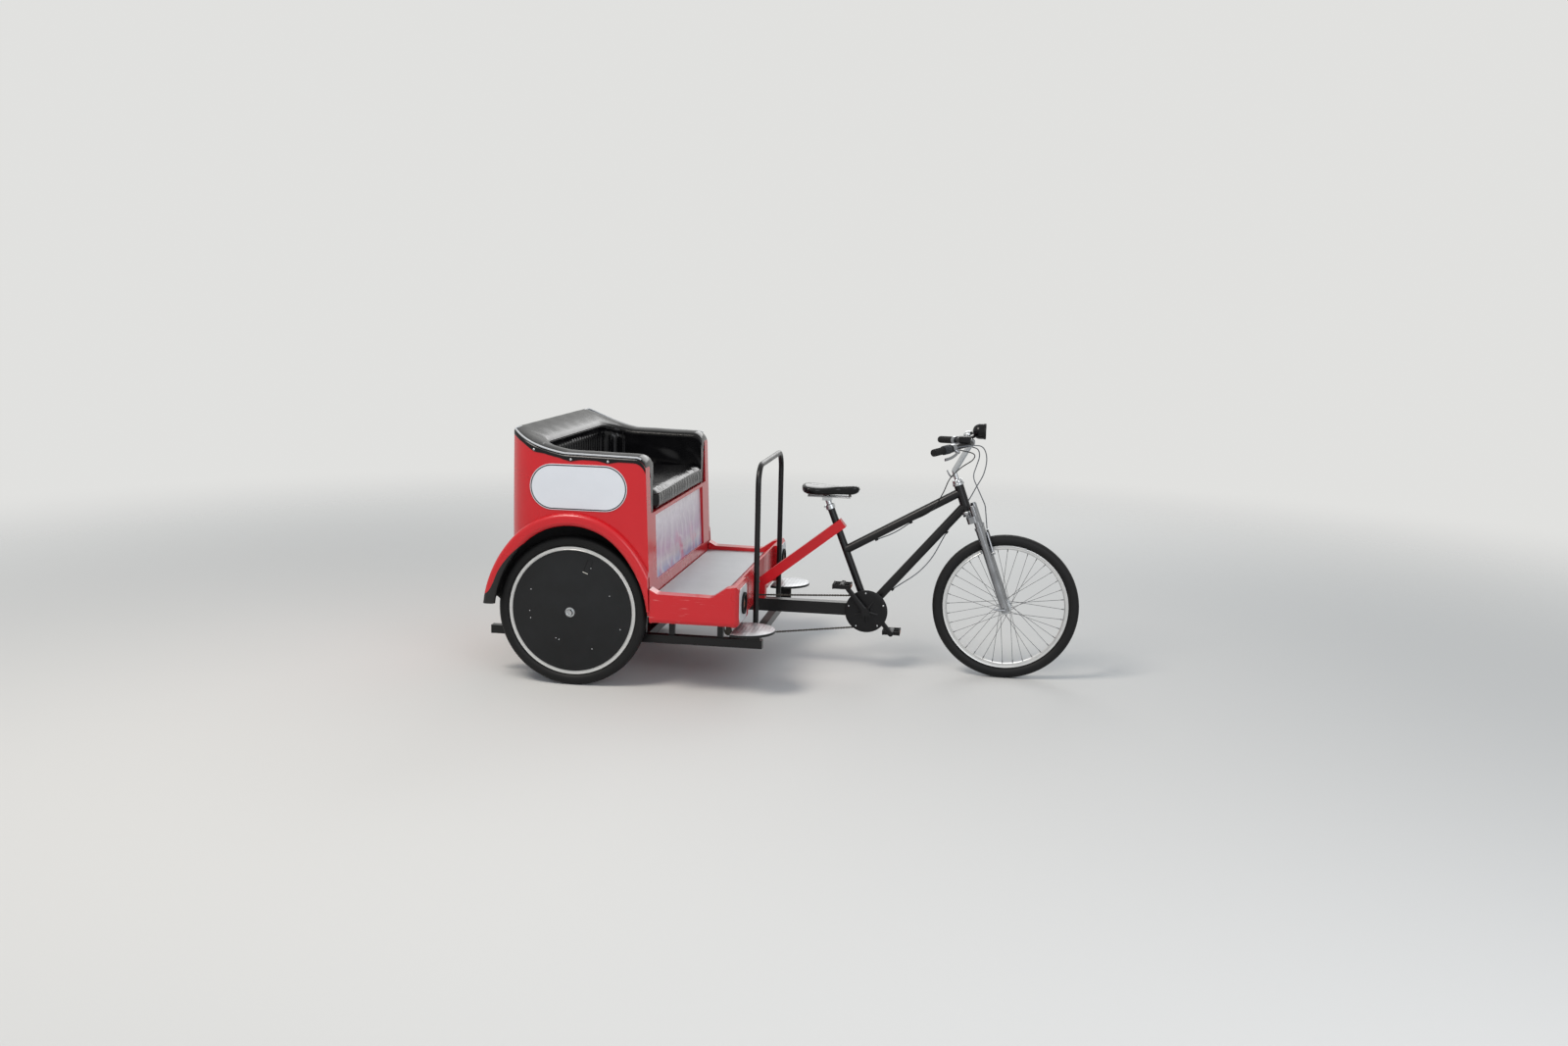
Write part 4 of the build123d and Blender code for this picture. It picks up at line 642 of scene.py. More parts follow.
def top_height(x):
    """Height of the tub's top edge over x, counted from the rear axle: an arc down from
    the back, a level stretch, and a rounded front corner."""
    back = arc_height(np.clip(x, BACK_END_AT, LEVEL_FROM_AT), (BACK_END_AT, BACK_TOP_Z),
                      (-0.150, 1.079), (LEVEL_FROM_AT, SIDE_TOP_Z))
    level = SIDE_TOP_Z - 0.008 * np.clip((x - LEVEL_FROM_AT) / 0.358, 0, 1)
    past = np.clip(x - ROUND_FROM_AT, 0, ROUND_R - 0.0005)
    drop = ROUND_R - np.sqrt(ROUND_R ** 2 - past ** 2)
    return np.where(x < LEVEL_FROM_AT, back, level - drop)


def circle(x, y, r, angles):
    """Points at such angles on a circle about (x, y)."""
    return np.stack([x + r * np.cos(angles), y + r * np.sin(angles)], -1)


def wall_path(inset, corner, front, count):
    """Plan of the wall at an inset: along one side, round a corner of that radius, along
    the back and forward again, with the same share of points on each run."""
    half = TUB_HALF - inset
    back = TUB_REAR_AT + inset
    n_side, n_turn, n_back = count
    right = np.stack([np.linspace(front, back + corner, n_side), np.full(n_side, -half)], -1)
    a = np.linspace(-np.pi / 2, -np.pi, n_turn + 2)[1:-1]
    turn = circle(back + corner, -half + corner, corner, a)
    straight = np.stack([np.full(n_back, back),
                         np.linspace(-half + corner, half - corner, n_back)], -1)
    left = right[::-1] * [1, -1]
    return np.vstack([right, turn, straight, turn[::-1] * [1, -1], left])


def lining(count):
    """The wall's plan at its outer face, its middle and its inner face."""
    return [wall_path(inset, corner, PAD_FRONT_AT, count) for inset, corner in (
        (0.0, OUTER_CORNER_R), (MID_INSET, INNER_CORNER_R), (INNER_INSET, INNER_CORNER_R))]


def across_wall(paths, inset):
    """Plan point of each station at an inset between the outer and the inner face."""
    outer, mid_line, inner = paths
    low = np.clip(inset / MID_INSET, 0, 1)[None, :, None]
    high = np.clip((inset - MID_INSET) / (INNER_INSET - MID_INSET), 0, 1)[None, :, None]
    return outer[:, None] + (mid_line - outer)[:, None] * low + (inner - mid_line)[:, None] * high


def run_along(line):
    """Distance of each point of a line from its start, along the line."""
    return np.concatenate([[0], np.cumsum(np.linalg.norm(np.diff(line, axis=0), axis=1))])


def at_run(line, run, places):
    """Points of a line at such distances from its start."""
    return np.stack([np.interp(places, run, line[:, k]) for k in range(line.shape[1])], -1)


def pad_wall(keep, count, pleated):
    """Closed section carried along the wall: up outside from the hem, over a rolled edge,
    down the inner face and back under the cap. keep picks the stations; where pleated,
    the inner face swells between upright seams as |sin|^0.7 of the pleat pitch."""
    paths = lining(count)
    outer, mid_line, inner = paths
    run = run_along(inner)[:, None]
    # Cap: inset from the outer face and drop below the top edge, with a scalloped hem
    roll = np.linspace(np.pi, np.pi / 2, 7)
    fall = np.linspace(np.pi / 2, 0, 7)
    inset = np.concatenate([[-VINYL_T, -0.0024], 0.016 + 0.0182 * np.cos(roll),
                            np.linspace(0.016, 0.122, 14)[1:-1], 0.122 + 0.018 * np.cos(fall)])
    drop = np.concatenate([[HEM_DROP, 0.022], 0.018 - 0.018 * np.sin(roll),
                           np.full(12, -0.0005), 0.018 - 0.018 * np.sin(fall)])
    outward = outer - mid_line
    outward = outward / np.linalg.norm(outward, axis=1, keepdims=True)
    cap = across_wall(paths, inset) - np.minimum(inset, 0)[None, :, None] * outward[:, None]
    cap[..., 0] = np.where(inset[None] < 0.05, np.maximum(cap[..., 0], LEAN_AT - VINYL_T),
                           cap[..., 0])
    scallop = (np.pi * run_along(outer) / SNAP_PITCH)[:, None]
    hem = np.zeros(len(inset))
    hem[0] = 1.0
    crown = 0.010 * np.sin(np.pi * np.clip((inset - 0.01) / 0.125, 0, 1))[None]
    puff = 1 - 0.10 * np.cos(scallop) ** 2
    cap_z = (top_height(cap[..., 0]) - drop[None] - 0.010 + crown * puff
             + (hem[None] * (0.010 - 0.012 * (1 - np.abs(np.sin(scallop))))))
    # Inner face, from the top edge down to the seat deck
    levels = np.linspace(0.03, 1.0, 30)[None]
    face_top = top_height(inner[:, :1]) - 0.030
    face_z = face_top + (SEAT_DECK - face_top) * levels
    inward = inner - mid_line
    inward = inward / np.linalg.norm(inward, axis=1, keepdims=True)
    if pleated:
        ribs = np.abs(np.sin(np.pi * run / PLEAT)) ** 0.7
        depth = (0.011 * ribs - 0.009) * np.clip((levels - 0.07) * 8, 0, 1)
        depth = depth - 0.006 * np.exp(-((levels - 0.06) / 0.03) ** 2)
    else:
        ribs = np.sin(run * 19 + 2.0) * np.sin(levels * 9)
        folds = np.sin(run * 34 + levels * 13 + 2 * np.sin(run * 11))
        depth = (-0.003 + 0.0028 * ribs + 0.0016 * folds) * np.clip(levels * 4, 0, 1)
    face = inner[:, None] + inward[:, None] * depth[..., None]
    # Under side: along the middle of the wall, and back out under the cap
    under = np.stack([mid_line, mid_line, outer + 0.001 * inward], 1)
    under[:, 2, 0] = np.maximum(under[:, 2, 0], LEAN_AT + 0.001)
    under_z = top_height(under[..., 0]) - 0.0195
    under_z[:, 0] = SEAT_DECK
    plan = np.concatenate([cap, face, under], 1) + [REAR, 0]
    height = np.concatenate([cap_z, face_z, under_z], 1)[..., None]
    return capped(np.concatenate([plan, height], -1)[keep(inner)])


def is_back(inner):
    """Stations of the back, with a lap past the joints to the sides."""
    return inner[:, 0] <= PAD_SPLIT_AT + PAD_LAP


def is_right_side(inner):
    """Stations of the right side, ahead of the joint to the back."""
    return (inner[:, 0] >= PAD_SPLIT_AT - 0.004) & (inner[:, 1] < 0)


def make_pair(name, shape, finish, stands_for=None, sharp=38):
    """A piece on the right side of the tub and its mirror image on the left."""
    for side, form in (("_right", shape), ("_left", mirrored(shape))):
        make(name + side, form, finish, "chassis",
             (stands_for + side,) if stands_for else (), sharp)


BACK_COUNT = (60, 24, 250)
SIDE_COUNT = (90, 8, 8)
make("back_upholstery", pad_wall(is_back, BACK_COUNT, True), vinyl, "chassis",
     ("back_pad",), sharp=50)
make_pair("side_upholstery", pad_wall(is_right_side, SIDE_COUNT, False), vinyl,
          "side_pad", sharp=50)

# Piping: a grey welt along the outer top edge of each side, and black ones along the inner
# edge and down the joints between back and sides; cord sewn into a strip of vinyl.
PIPE_R = 0.0042
grey_welt = worn("grey_welt", "#A5A8AB", "#C9CBCC", 0.04, (0.3, 0.4), 0.0001)
edge = wall_path(0.0045, 0.1655, 0.318, (80, 30, 6))[:110]
edge_x = np.maximum(edge[:, 0], LEAN_AT + 0.003)
welt = np.stack([edge_x + REAR, edge[:, 1], top_height(edge_x) - 0.0085], -1)
make_pair("welt", tube(welt, PIPE_R, 10), grey_welt)

inner_line = wall_path(0.136, 0.104, TUB_FRONT_AT - 0.030, (40, 10, 40))
inner_z = top_height(inner_line[:, 0]) - 0.022
inner_welt = tube(np.column_stack([inner_line + [REAR, 0], inner_z]), PIPE_R, 10)
make("inner_welt", inner_welt, vinyl, "chassis")
z = np.linspace(top_height(np.array(PAD_SPLIT_AT)) - 0.022, 0.875, 16)
corner_welts = [tube([(PAD_SPLIT_AT + REAR, hand * 0.4985, up) for up in z], PIPE_R, 10)
                for hand in (1, -1)]
make("corner_welts", joined(*corner_welts), vinyl, "chassis")

# Snap studs: pressed brass with a nickel finish, pushed through the vinyl into the shell at
# the points of the hem.
stud_line = wall_path(0.0, OUTER_CORNER_R, PAD_FRONT_AT, (90, 40, 90))
stud_run = run_along(stud_line)
studs = []
for k in range(1, int(stud_run[-1] / SNAP_PITCH)):
    places = k * SNAP_PITCH + np.array([-0.01, 0, 0.01])
    before, (px, py), after = at_run(stud_line, stud_run, places)
    go = after - before
    out = np.array([-go[1], go[0], 0.0]) / np.linalg.norm(go)
    if px < LEAN_AT:
        px, out = LEAN_AT, np.array([-1.0, 0.0, 0.0])
    z = float(top_height(np.array(px))) - 0.033
    flat = np.stack([np.cross(out, [0, 0, 1]), out, [0, 0, 1]], -1)
    on_vinyl = np.array([px + REAR, py, z]) + out * VINYL_T
    studs.append(moved(button(0.0055, 0.0024), on_vinyl, flat))
make("snap_studs", joined(*studs), alloy, "chassis")

# Seat cushion: one foam block in glossy vinyl, sewn from a top and a boxing strip with
# piping between them, pulled in at the corners.
CUSHION_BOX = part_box("seat_cushion")
CORNER_R, EDGE_R = 0.055, 0.026
FOLD_PITCH = 0.045
WELT_STEPS = 241


def rounded_plan(low, high, r, inset):
    """Plan of an oblong with corners of radius r, drawn in by an inset."""
    t = np.linspace(0, np.pi / 2, 9)
    corners = ((high[0] - r, high[1] - r, 0.0), (low[0] + r, high[1] - r, np.pi / 2),
               (low[0] + r, low[1] + r, np.pi), (high[0] - r, low[1] + r, 1.5 * np.pi))
    return np.vstack([circle(x, y, r - inset, start + t) for x, y, start in corners])


def cushion_form(shrink):
    """Block with rounded upright corners and edges: a rounded oblong carried from bottom
    to top, drawn in by a quarter circle at both."""
    low, high = (np.array(p) for p in CUSHION_BOX)
    low, high = low + [shrink, shrink, 0.002], high - shrink
    z0, z1 = low[2], high[2]
    quarter = np.linspace(0, np.pi / 2, 7)
    steps = [(EDGE_R * (1 - math.sin(t)), z0 + EDGE_R * (1 - math.cos(t))) for t in quarter]
    steps += [(0.0, z) for z in np.linspace(z0 + EDGE_R, z1 - EDGE_R, 6)[1:-1]]
    steps += [(EDGE_R * (1 - math.cos(t)), z1 - EDGE_R + EDGE_R * math.sin(t))
              for t in quarter]
    rings = []
    for inset, z in steps:
        loop = rounded_plan(low, high, CORNER_R, inset)
        rings.append(np.column_stack([loop, np.full(len(loop), z)]))
    return capped(np.stack(rings))


def points_of(mesh):
    """Points of a mesh, a row each."""
    co = np.empty(len(mesh.vertices) * 3)
    mesh.vertices.foreach_get("co", co)
    return co.reshape(-1, 3)


def set_points(mesh, co):
    """Moves the points of a mesh to the rows of co."""
    mesh.vertices.foreach_set("co", co.ravel())
    mesh.update()


cushion = make("seat_cushion_dressed", cushion_form(0.007), vinyl,
               "chassis", ("seat_cushion",), sharp=80)


def stuff(piece, voxel, cap, frames=18):
    """Fills a closed piece with foam: remeshed at the voxel size, swollen by cloth under
    pressure without gravity, and no point moved further than cap."""
    scene = bpy.context.scene
    bpy.context.view_layer.objects.active = piece
    remesh = piece.modifiers.new("even", "REMESH")
    remesh.mode = "VOXEL"
    remesh.voxel_size = voxel
    bpy.ops.object.modifier_apply(modifier="even")
    start = points_of(piece.data)
    cloth = piece.modifiers.new("foam", "CLOTH")
    cloth.settings.quality = 4
    cloth.settings.mass = 0.4
    cloth.settings.tension_stiffness = 12
    cloth.settings.compression_stiffness = 12
    cloth.settings.bending_stiffness = 2.0
    cloth.settings.use_pressure = True
    cloth.settings.uniform_pressure_force = 4
    cloth.settings.effector_weights.gravity = 0
    cloth.point_cache.frame_start = 1
    cloth.point_cache.frame_end = frames
    for frame_at in range(1, frames + 1):
        scene.frame_set(frame_at)
    end = points_of(piece.evaluated_get(bpy.context.evaluated_depsgraph_get()).data)
    piece.modifiers.remove(cloth)
    scene.frame_set(1)
    go = end - start
    far = np.linalg.norm(go, axis=1, keepdims=True)
    set_points(piece.data, start + go * np.minimum(1, cap / np.maximum(far, 1e-9)))


stuff(cushion, 0.008, 0.012)


def cushion_detail(co):
    """Puckers of the boxing strip, upright folds every 45 mm that fade up and down, a
    crown pressed down 7 mm at both seats, and the base kept flat on the deck."""
    (x0, y0, z0), (x1, y1, z1) = CUSHION_BOX
    x, y, z = co.T
    share = np.clip((z - z0) / (z1 - z0), 0, 1)
    front = np.clip((x - (x1 - 0.06)) / 0.06, 0, 1)
    folds = np.sin(y * 2 * np.pi / FOLD_PITCH + 1.6 * np.sin(y * 23)) * np.sin(np.pi * share)
    x = x + 0.0022 * front * folds
    seats = (np.exp(-((np.abs(y) - 0.23) / 0.13) ** 2)
             * np.exp(-((x - (x0 + x1) / 2) / 0.15) ** 2))
    z = z - 0.007 * seats * np.clip((share - 0.6) / 0.4, 0, 1)
    return np.stack([np.clip(x, x0, x1), np.clip(y, y0, y1), np.maximum(z, z0)], -1)


skin = cushion_detail(points_of(cushion.data))
set_points(cushion.data, skin)
cushion.data.shade_smooth()
smooth = cushion.modifiers.new("fine", "SUBSURF")
smooth.levels = smooth.render_levels = 1

# Piping round the cushion's top edge: cord in a folded strip of the same vinyl, sewn into
# the seam. It is laid on the nearest points of the skin and evened out.
loop = rounded_plan(*CUSHION_BOX, CORNER_R, 0.0015)
loop = np.vstack([loop, loop[:1]])
loop = at_run(loop, np.arange(len(loop)), np.linspace(0, len(loop) - 1, WELT_STEPS))
seam = np.column_stack([loop, np.full(WELT_STEPS, CUSHION_BOX[1][2] - 0.017)])
for k, point in enumerate(seam):
    near = skin[np.abs(skin[:, 2] - point[2]) < 0.008]
    seam[k, :2] = near[np.argmin(np.linalg.norm(near[:, :2] - point[:2], axis=1)), :2]
seam = seam[np.append(True, np.linalg.norm(np.diff(seam, axis=0), axis=1) > 0.001)]
seam_run = run_along(seam)
seam = at_run(seam, seam_run, np.linspace(0, seam_run[-1], WELT_STEPS))
for _ in range(3):
    seam[1:-1] = (seam[:-2] + 2 * seam[1:-1] + seam[2:]) / 4
make("cushion_welt", tube(seam, 0.0036, 8), vinyl, "chassis")


# Wheel well liners: a black sheet under each arch, over the inside of the flare and the wall
# behind the wheel. Its black is partly the underside's own dark coat and partly painted
# shade, standing for the shade that fills the well.
ARCH_MID = REAR + 0.009
ARCH_TOP_Z, ARCH_TOP_R, ARCH_SIDE_R = 0.723, 0.290, 0.480
ARCH_END = REAR + TUB_FRONT_AT - 0.016
# Black for the wheel wells: painted shade over a dark underside coat.
painted_well_shade = worn("painted_well_shade", "#08080A", "#121214", 0.01, (0.7, 0.9), 0.0008)


def arch_line(offset, foot, count=40):
    """The wheel arch from foot to foot, so far outside its lip: on each side of the top an
    arc of the small radius over 45 degrees, then one of the large radius whose centre
    lies on the same ray."""
    top = ARCH_TOP_Z - ARCH_TOP_R
    step = (ARCH_SIDE_R - ARCH_TOP_R) * math.cos(math.radians(45))
    low = math.asin((foot - top + step) / (ARCH_SIDE_R + offset))
    a = np.linspace(np.pi / 2, np.pi / 4, count)
    b = np.linspace(np.pi / 4, low, count)[1:]
    x = np.concatenate([(ARCH_TOP_R + offset) * np.cos(a),
                        (ARCH_SIDE_R + offset) * np.cos(b) - step])
    z = np.concatenate([top + (ARCH_TOP_R + offset) * np.sin(a),
                        top - step + (ARCH_SIDE_R + offset) * np.sin(b)])
    half = np.stack([x, z], -1)
    return np.vstack([half[::-1] * [-1, 1], half[1:]])


def at_side(line, y):
    """A line of (ahead, up) set at a distance to the side."""
    return np.column_stack([line[:, 0], np.full(len(line), y), line[:, 1]])


def over_wheel(line, y):
    """An arch line set over the wheel at a distance to the side, cut off at the front."""
    return at_side(np.column_stack([np.minimum(line[:, 0] + ARCH_MID, ARCH_END), line[:, 1]]), y)


def liner_form():
    """Sheet that follows the arch 47 mm above its lip, from the rim of the flare to the
    inner wall, and turns down behind the rim."""
    full = arch_line(0.0468, 0.363)
    rim = arch_line(0.002, 0.363)
    return lattice(np.stack([over_wheel(line, y) for y, line in (
        (-0.6512, rim), (-0.6512, full), (-0.640, full), (-0.560, full), (-0.5005, full),
        (-0.5005, full * [0.96, 1] - [0, 0.012]))]))


make_pair("well_liner", liner_form(), painted_well_shade, sharp=50)
for name in ("well_liner_right", "well_liner_left"):
    wall = bpy.data.objects[name].modifiers.new("sheet", "SOLIDIFY")
    wall.thickness = 0.0010
    wall.offset = 0

# Side signs: blank white plastic stadiums with a thin black printed border, fixed flat on
# the sides of the tub.
SIGN_HALF_L, SIGN_HALF_H, SIGN_BORDER = 0.2165, 0.100, 0.005
SIGN_X, SIGN_Z = REAR + 0.042, 0.890


def stadium(shrink, count=24):
    """Outline of a bar with round ends, drawn in by shrink, as (along, up)."""
    r = SIGN_HALF_H - shrink
    c = SIGN_HALF_L - SIGN_HALF_H
    a = np.linspace(-np.pi / 2, np.pi / 2, count)
    right = circle(c, 0, r, a)
    return np.vstack([right, -right])


def sign_ring(shrink, lift):
    """Outline of the right sign, drawn in by shrink and lifted off the panel."""
    return at_side(stadium(shrink) + [SIGN_X, SIGN_Z], -(TUB_HALF + lift))


sign_face = capped(np.stack([sign_ring(*row) for row in (
    (0.0, 0.0002), (0.0, 0.0024), (0.0006, 0.0029), (0.012, 0.0030))]))
border = lattice(np.stack([sign_ring(*row) for row in (
    (0.0030, 0.0030), (0.0032, 0.0034), (SIGN_BORDER + 0.0028, 0.0034),
    (SIGN_BORDER + 0.003, 0.0030))]), True, True)
sign_sheet = worn("rubbed_sign_sheet", "#D3D6DA", "#DDE0E4", 0.12, (0.25, 0.4), 0.00005)
black_print = worn("black_print", "#121214", "#1C1C1F", 0.02, (0.3, 0.4), 0.00005)
for side, flip in (("right", lambda s: s), ("left", mirrored)):
    make("sign_" + side, flip(sign_face), sign_sheet, "chassis", sharp=30)
    make("sign_border_" + side, flip(border), black_print, "chassis")
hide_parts("side_signs")

# Seat front panel: printed plastic sheet in faded pastel colours, a soft abstract pattern
# of the builder's own, held flat in the front of the seat box.
PRINT_TONES = ((0.0, "#93A4D2"), (0.18, "#B9C3E0"), (0.34, "#D0B7D0"), (0.55, "#D6CCD8"),
               (1.0, "#DBD7DC"))
panel_print, tree, shader = new_material("faded_pastel_print", Roughness=0.32)
placed = add(tree, "ShaderNodeMapping", {"Vector": spot_on(tree), "Location": (0.55, 0.0, -0.62)},
             vector_type="POINT").outputs[0]
up = add(tree, "ShaderNodeSeparateXYZ", {"Vector": placed}).outputs["Z"]
swirl = add(tree, "ShaderNodeTexWave",
            {"Vector": placed, "Scale": 3.2, "Distortion": 9.0, "Detail": 2.0,
             "Detail Scale": 1.6}, wave_type="RINGS").outputs["Fac"]
tones = add(tree, "ShaderNodeValToRGB", {"Fac": ranged(tree, up, -0.14, 0.15)})
ramp = tones.color_ramp
for at, code in PRINT_TONES:
    stop = ramp.elements.new(at) if at not in (0.0, 1.0) else ramp.elements[int(at)]
    stop.color = linear(code)
pink = maths(tree, "MULTIPLY", ranged(tree, noise(tree, placed, 7.0, 5.0), 0.52, 0.66),
             ranged(tree, up, 0.02, -0.08))
strand = ranged(tree, swirl, 0.62, 1.0, to_high=0.55)
grime = ranged(tree, noise(tree, placed, 38.0, 3.0), 0.35, 0.75, to_high=0.30)
shade = mixed(tree, pink, tones.outputs["Color"], "#DB6C98")
shade = mixed(tree, strand, shade, "#F0EDF1")
tree.links.new(mixed(tree, grime, shade, "#A39CA6"), shader.inputs["Base Color"])
dress(panel_print, "seat_front_panel")

# Saddle: moulded foam under stretched vinyl, wide and round at the back, narrow at the
# nose, dipped along the middle, on two steel rails whose ends reach the post's clamp.
NOSE_HALF_W, TAIL_HALF_W = 0.030, 0.095


def saddle_form():
    """Top view half width = rear 95 mm blended to a 30 mm nose by a smooth step of the
    length; each station's section is a half ellipse, squared by a power of 0.6, over a
    tucked skirt, and the top dips by 10 mm halfway along."""
    (x0, y0, z0), (x1, y1, z1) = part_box("saddle")
    t = np.linspace(0.0, 1.0, 44)
    x = x0 + (x1 - x0) * t
    step = np.clip((t - 0.25) / 0.45, 0, 1)
    half = NOSE_HALF_W + (TAIL_HALF_W - NOSE_HALF_W) * (1 - step * step * (3 - 2 * step))
    ends = np.sqrt(np.clip(1 - np.abs(2 * t - 1) ** 9, 0, 1))
    round_tail = np.sqrt(np.clip(1 - ((0.16 - np.minimum(t, 0.16)) / 0.16) ** 2.2, 0, 1))
    half = half * ends * (0.45 + 0.55 * round_tail)
    a = np.linspace(0, np.pi, 21)
    skirt = np.linspace(np.pi, 2 * np.pi, 14)[1:-1]
    rise = -0.010 * np.sin(np.pi * t) + 0.002
    top_y = np.outer(half, np.cos(a))
    top_z = 0.020 * np.sin(a)[None] ** 0.6 * ends[:, None]
    top_z = top_z - 0.004 * np.exp(-(top_y / 0.012) ** 2) * (t > 0.15)[:, None]
    low_y = np.outer(half * 0.90, np.cos(skirt))
    low_z = -0.026 * np.abs(np.sin(skirt))[None] ** 0.35 * ends[:, None]
    y = np.concatenate([top_y, low_y], 1)
    z = np.concatenate([top_z, low_z], 1) + (z1 - 0.022) + rise[:, None]
    points = np.stack([np.broadcast_to(x[:, None], y.shape), y, np.clip(z, z1 - 0.048, z1)], -1)
    return lattice(points, False, True)


RAIL_TOP_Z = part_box("seat_post")[1][2]
SADDLE_REAR_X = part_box("saddle")[0][0]
rail_ends = [tube([(SADDLE_REAR_X + at, hand * 0.022, RAIL_TOP_Z - 0.004),
                   (SADDLE_REAR_X + at, hand * 0.022, RAIL_TOP_Z + 0.011)], 0.0035, 10)
             for hand in (1, -1) for at in (0.035, 0.225)]
make("saddle_cover", saddle_form(), vinyl, "chassis", ("saddle",), sharp=70)
make("saddle_rail_ends", joined(*rail_ends), steel, "chassis")

# Roller chains: steel side plates of figure-eight outline on 12.7 mm pitch, riveted
# through rollers, laid round the pitch line of each pair of cogs.
CHAIN_PITCH = 0.0127
JACK = (REAR + 0.600, 0.286)
BB = (REAR + 1.250, 0.288)


def loop_line(circles):
    """Closed pitch line round circles (x, z, r) named anticlockwise: the arcs between the
    outer tangents, whose normal lies acos((r1 - r2) / gap) off the line of centres, with
    a whole even number of steps."""
    normals = []
    for (x1, z1, r1), (x2, z2, r2) in zip(circles, circles[1:] + circles[:1]):
        gap, slope = math.hypot(x2 - x1, z2 - z1), math.atan2(z2 - z1, x2 - x1)
        normals.append(slope - math.acos((r1 - r2) / gap))
    line = []
    for k, (x, z, r) in enumerate(circles):
        start = normals[k - 1]
        a = np.linspace(start, start + (normals[k] - start) % (2 * math.pi), 60)
        line.append(circle(x, z, r, a))
    line = np.vstack(line + [line[0][:1]])
    run = run_along(line)
    count = int(round(run[-1] / CHAIN_PITCH / 2)) * 2
    return at_run(line, run, np.arange(count) * run[-1] / count)


def link_plate(length, y, thick=0.0010, height=0.0042):
    """Waisted plate along X of half height h (1 - |2u - 1|^5)^0.5 (0.80 - 0.20
    cos(4 pi (u - 0.5))), with u from 0 to 1 along it."""
    u = np.linspace(0, 1, 9)
    x = (u - 0.5) * (length + 0.0076)
    h = height * np.sqrt(np.clip(1 - np.abs(2 * u - 1) ** 5, 0.02, 1))
    h = h * (0.80 - 0.20 * np.cos(4 * np.pi * (u - 0.5)))
    upper, lower = np.stack([x, h], -1), np.stack([x, -h], -1)
    rows = [at_side(line, y + d)
            for line, d in ((upper, 0), (upper, thick), (lower, thick), (lower, 0))]
    return lattice(np.stack(rows), True, False)


def chain_form(circles, y):
    """All links of a loop: inner and outer plates in turn, and a roller at each pin."""
    pins = loop_line(circles)
    after = np.roll(pins, -1, 0)
    mid_at, go = (pins + after) / 2, after - pins
    size = float(np.linalg.norm(go, axis=1).mean())
    plates = (joined(link_plate(size, 0.0012), link_plate(size, -0.0022)),
              joined(link_plate(size, 0.0024), link_plate(size, -0.0034)))
    roller = spin([(0.0, -0.0036), (0.0018, -0.0036), (0.0018, -0.0012), (0.0036, -0.0011),
                   (0.0036, 0.0011), (0.0018, 0.0012), (0.0018, 0.0036), (0.0, 0.0036)], 8)
    parts = []
    for k, angle in enumerate(np.arctan2(go[:, 1], go[:, 0])):
        c, s = math.cos(angle), math.sin(angle)
        parts.append(moved(plates[k % 2], (mid_at[k, 0], y, mid_at[k, 1]),
                           ((c, 0, -s), (0, 1, 0), (s, 0, c))))
        parts.append(moved(roller, (pins[k, 0], y, pins[k, 1])))
    return joined(*parts)


CHAIN_SIDE = 0.048
RING_R, DRIVE_COG_R, JACK_COG_R, AXLE_COG_R = 0.0728, 0.044, 0.052, 0.060
PULLEY = (REAR + 0.600, 0.155, 0.020)
drive_loop = ((*JACK, DRIVE_COG_R), PULLEY, (*BB, RING_R))
axle_loop = ((REAR, AXLE_H, AXLE_COG_R), (*JACK, JACK_COG_R))
make("drive_chain_links", chain_form(drive_loop, -CHAIN_SIDE), steel, "chassis",
     ("drive_chain",))
make("axle_chain_links", chain_form(axle_loop, CHAIN_SIDE), steel, "chassis",
     ("axle_chain",))


# Sprockets: stamped steel with teeth on the same pitch as the chain, on a turned shaft and
# on a sleeve over the axle.
COG_T = 0.0024


def sprocket(pitch_r, y, thick, bore, centre):
    """Toothed disc: outline radius = root + height * max(0, cos(teeth a))^0.6."""
    teeth = int(round(2 * math.pi * pitch_r / CHAIN_PITCH))
    a = np.linspace(0, 2 * np.pi, teeth * 8, endpoint=False)
    r = pitch_r - 0.0040 + 0.0062 * np.clip(np.cos(teeth * a + math.pi), 0, 1) ** 0.6
    rings = [at_side(np.stack([centre[0] + radius * np.sin(a),
                               centre[1] + radius * np.cos(a)], -1), y + side * thick / 2)
             for radius, side in ((bore, -1), (r, -1), (r, 1), (bore, 1))]
    return lattice(np.stack(rings), True, True)


def round_bar(x, z, y0, y1, r, sides=24):
    """Round bar across the vehicle from y0 to y1."""
    return tube([(x, y0, z), (x, y1, z)], r, sides)


jack = joined(round_bar(*JACK, -0.062, -0.0253, 0.010), round_bar(*JACK, 0.0253, 0.062, 0.010),
              sprocket(DRIVE_COG_R, -CHAIN_SIDE, COG_T, 0.0098, JACK),
              sprocket(JACK_COG_R, CHAIN_SIDE, COG_T, 0.0098, JACK),
              round_bar(*JACK, -0.056, -0.040, 0.018), round_bar(*JACK, 0.040, 0.056, 0.018))
make("jackshaft_cogs", jack, steel, "chassis", ("jackshaft",))
sleeve = spin([(0.0222, -0.020), (0.034, -0.020), (0.034, 0.020), (0.0222, 0.020)], 40,
              closed=True)
make("axle_cog_toothed",
     joined(sprocket(AXLE_COG_R, CHAIN_SIDE, COG_T, 0.0222, (REAR, AXLE_H)),
            moved(sleeve, (REAR, CHAIN_SIDE, AXLE_H))),
     steel, "chassis", ("axle_cog",))

# Crankset: forged black arms tapered to the pedal, a toothed ring on a five-arm spider, and
# a black plastic guard ring outside it.
CRANK_L = 0.170
CRANK_AT = math.radians(129)
ARM_Y, BOSS_HALF = 0.078, 0.007
GUARD_Y, BOLTS_R = -0.0575, 0.085


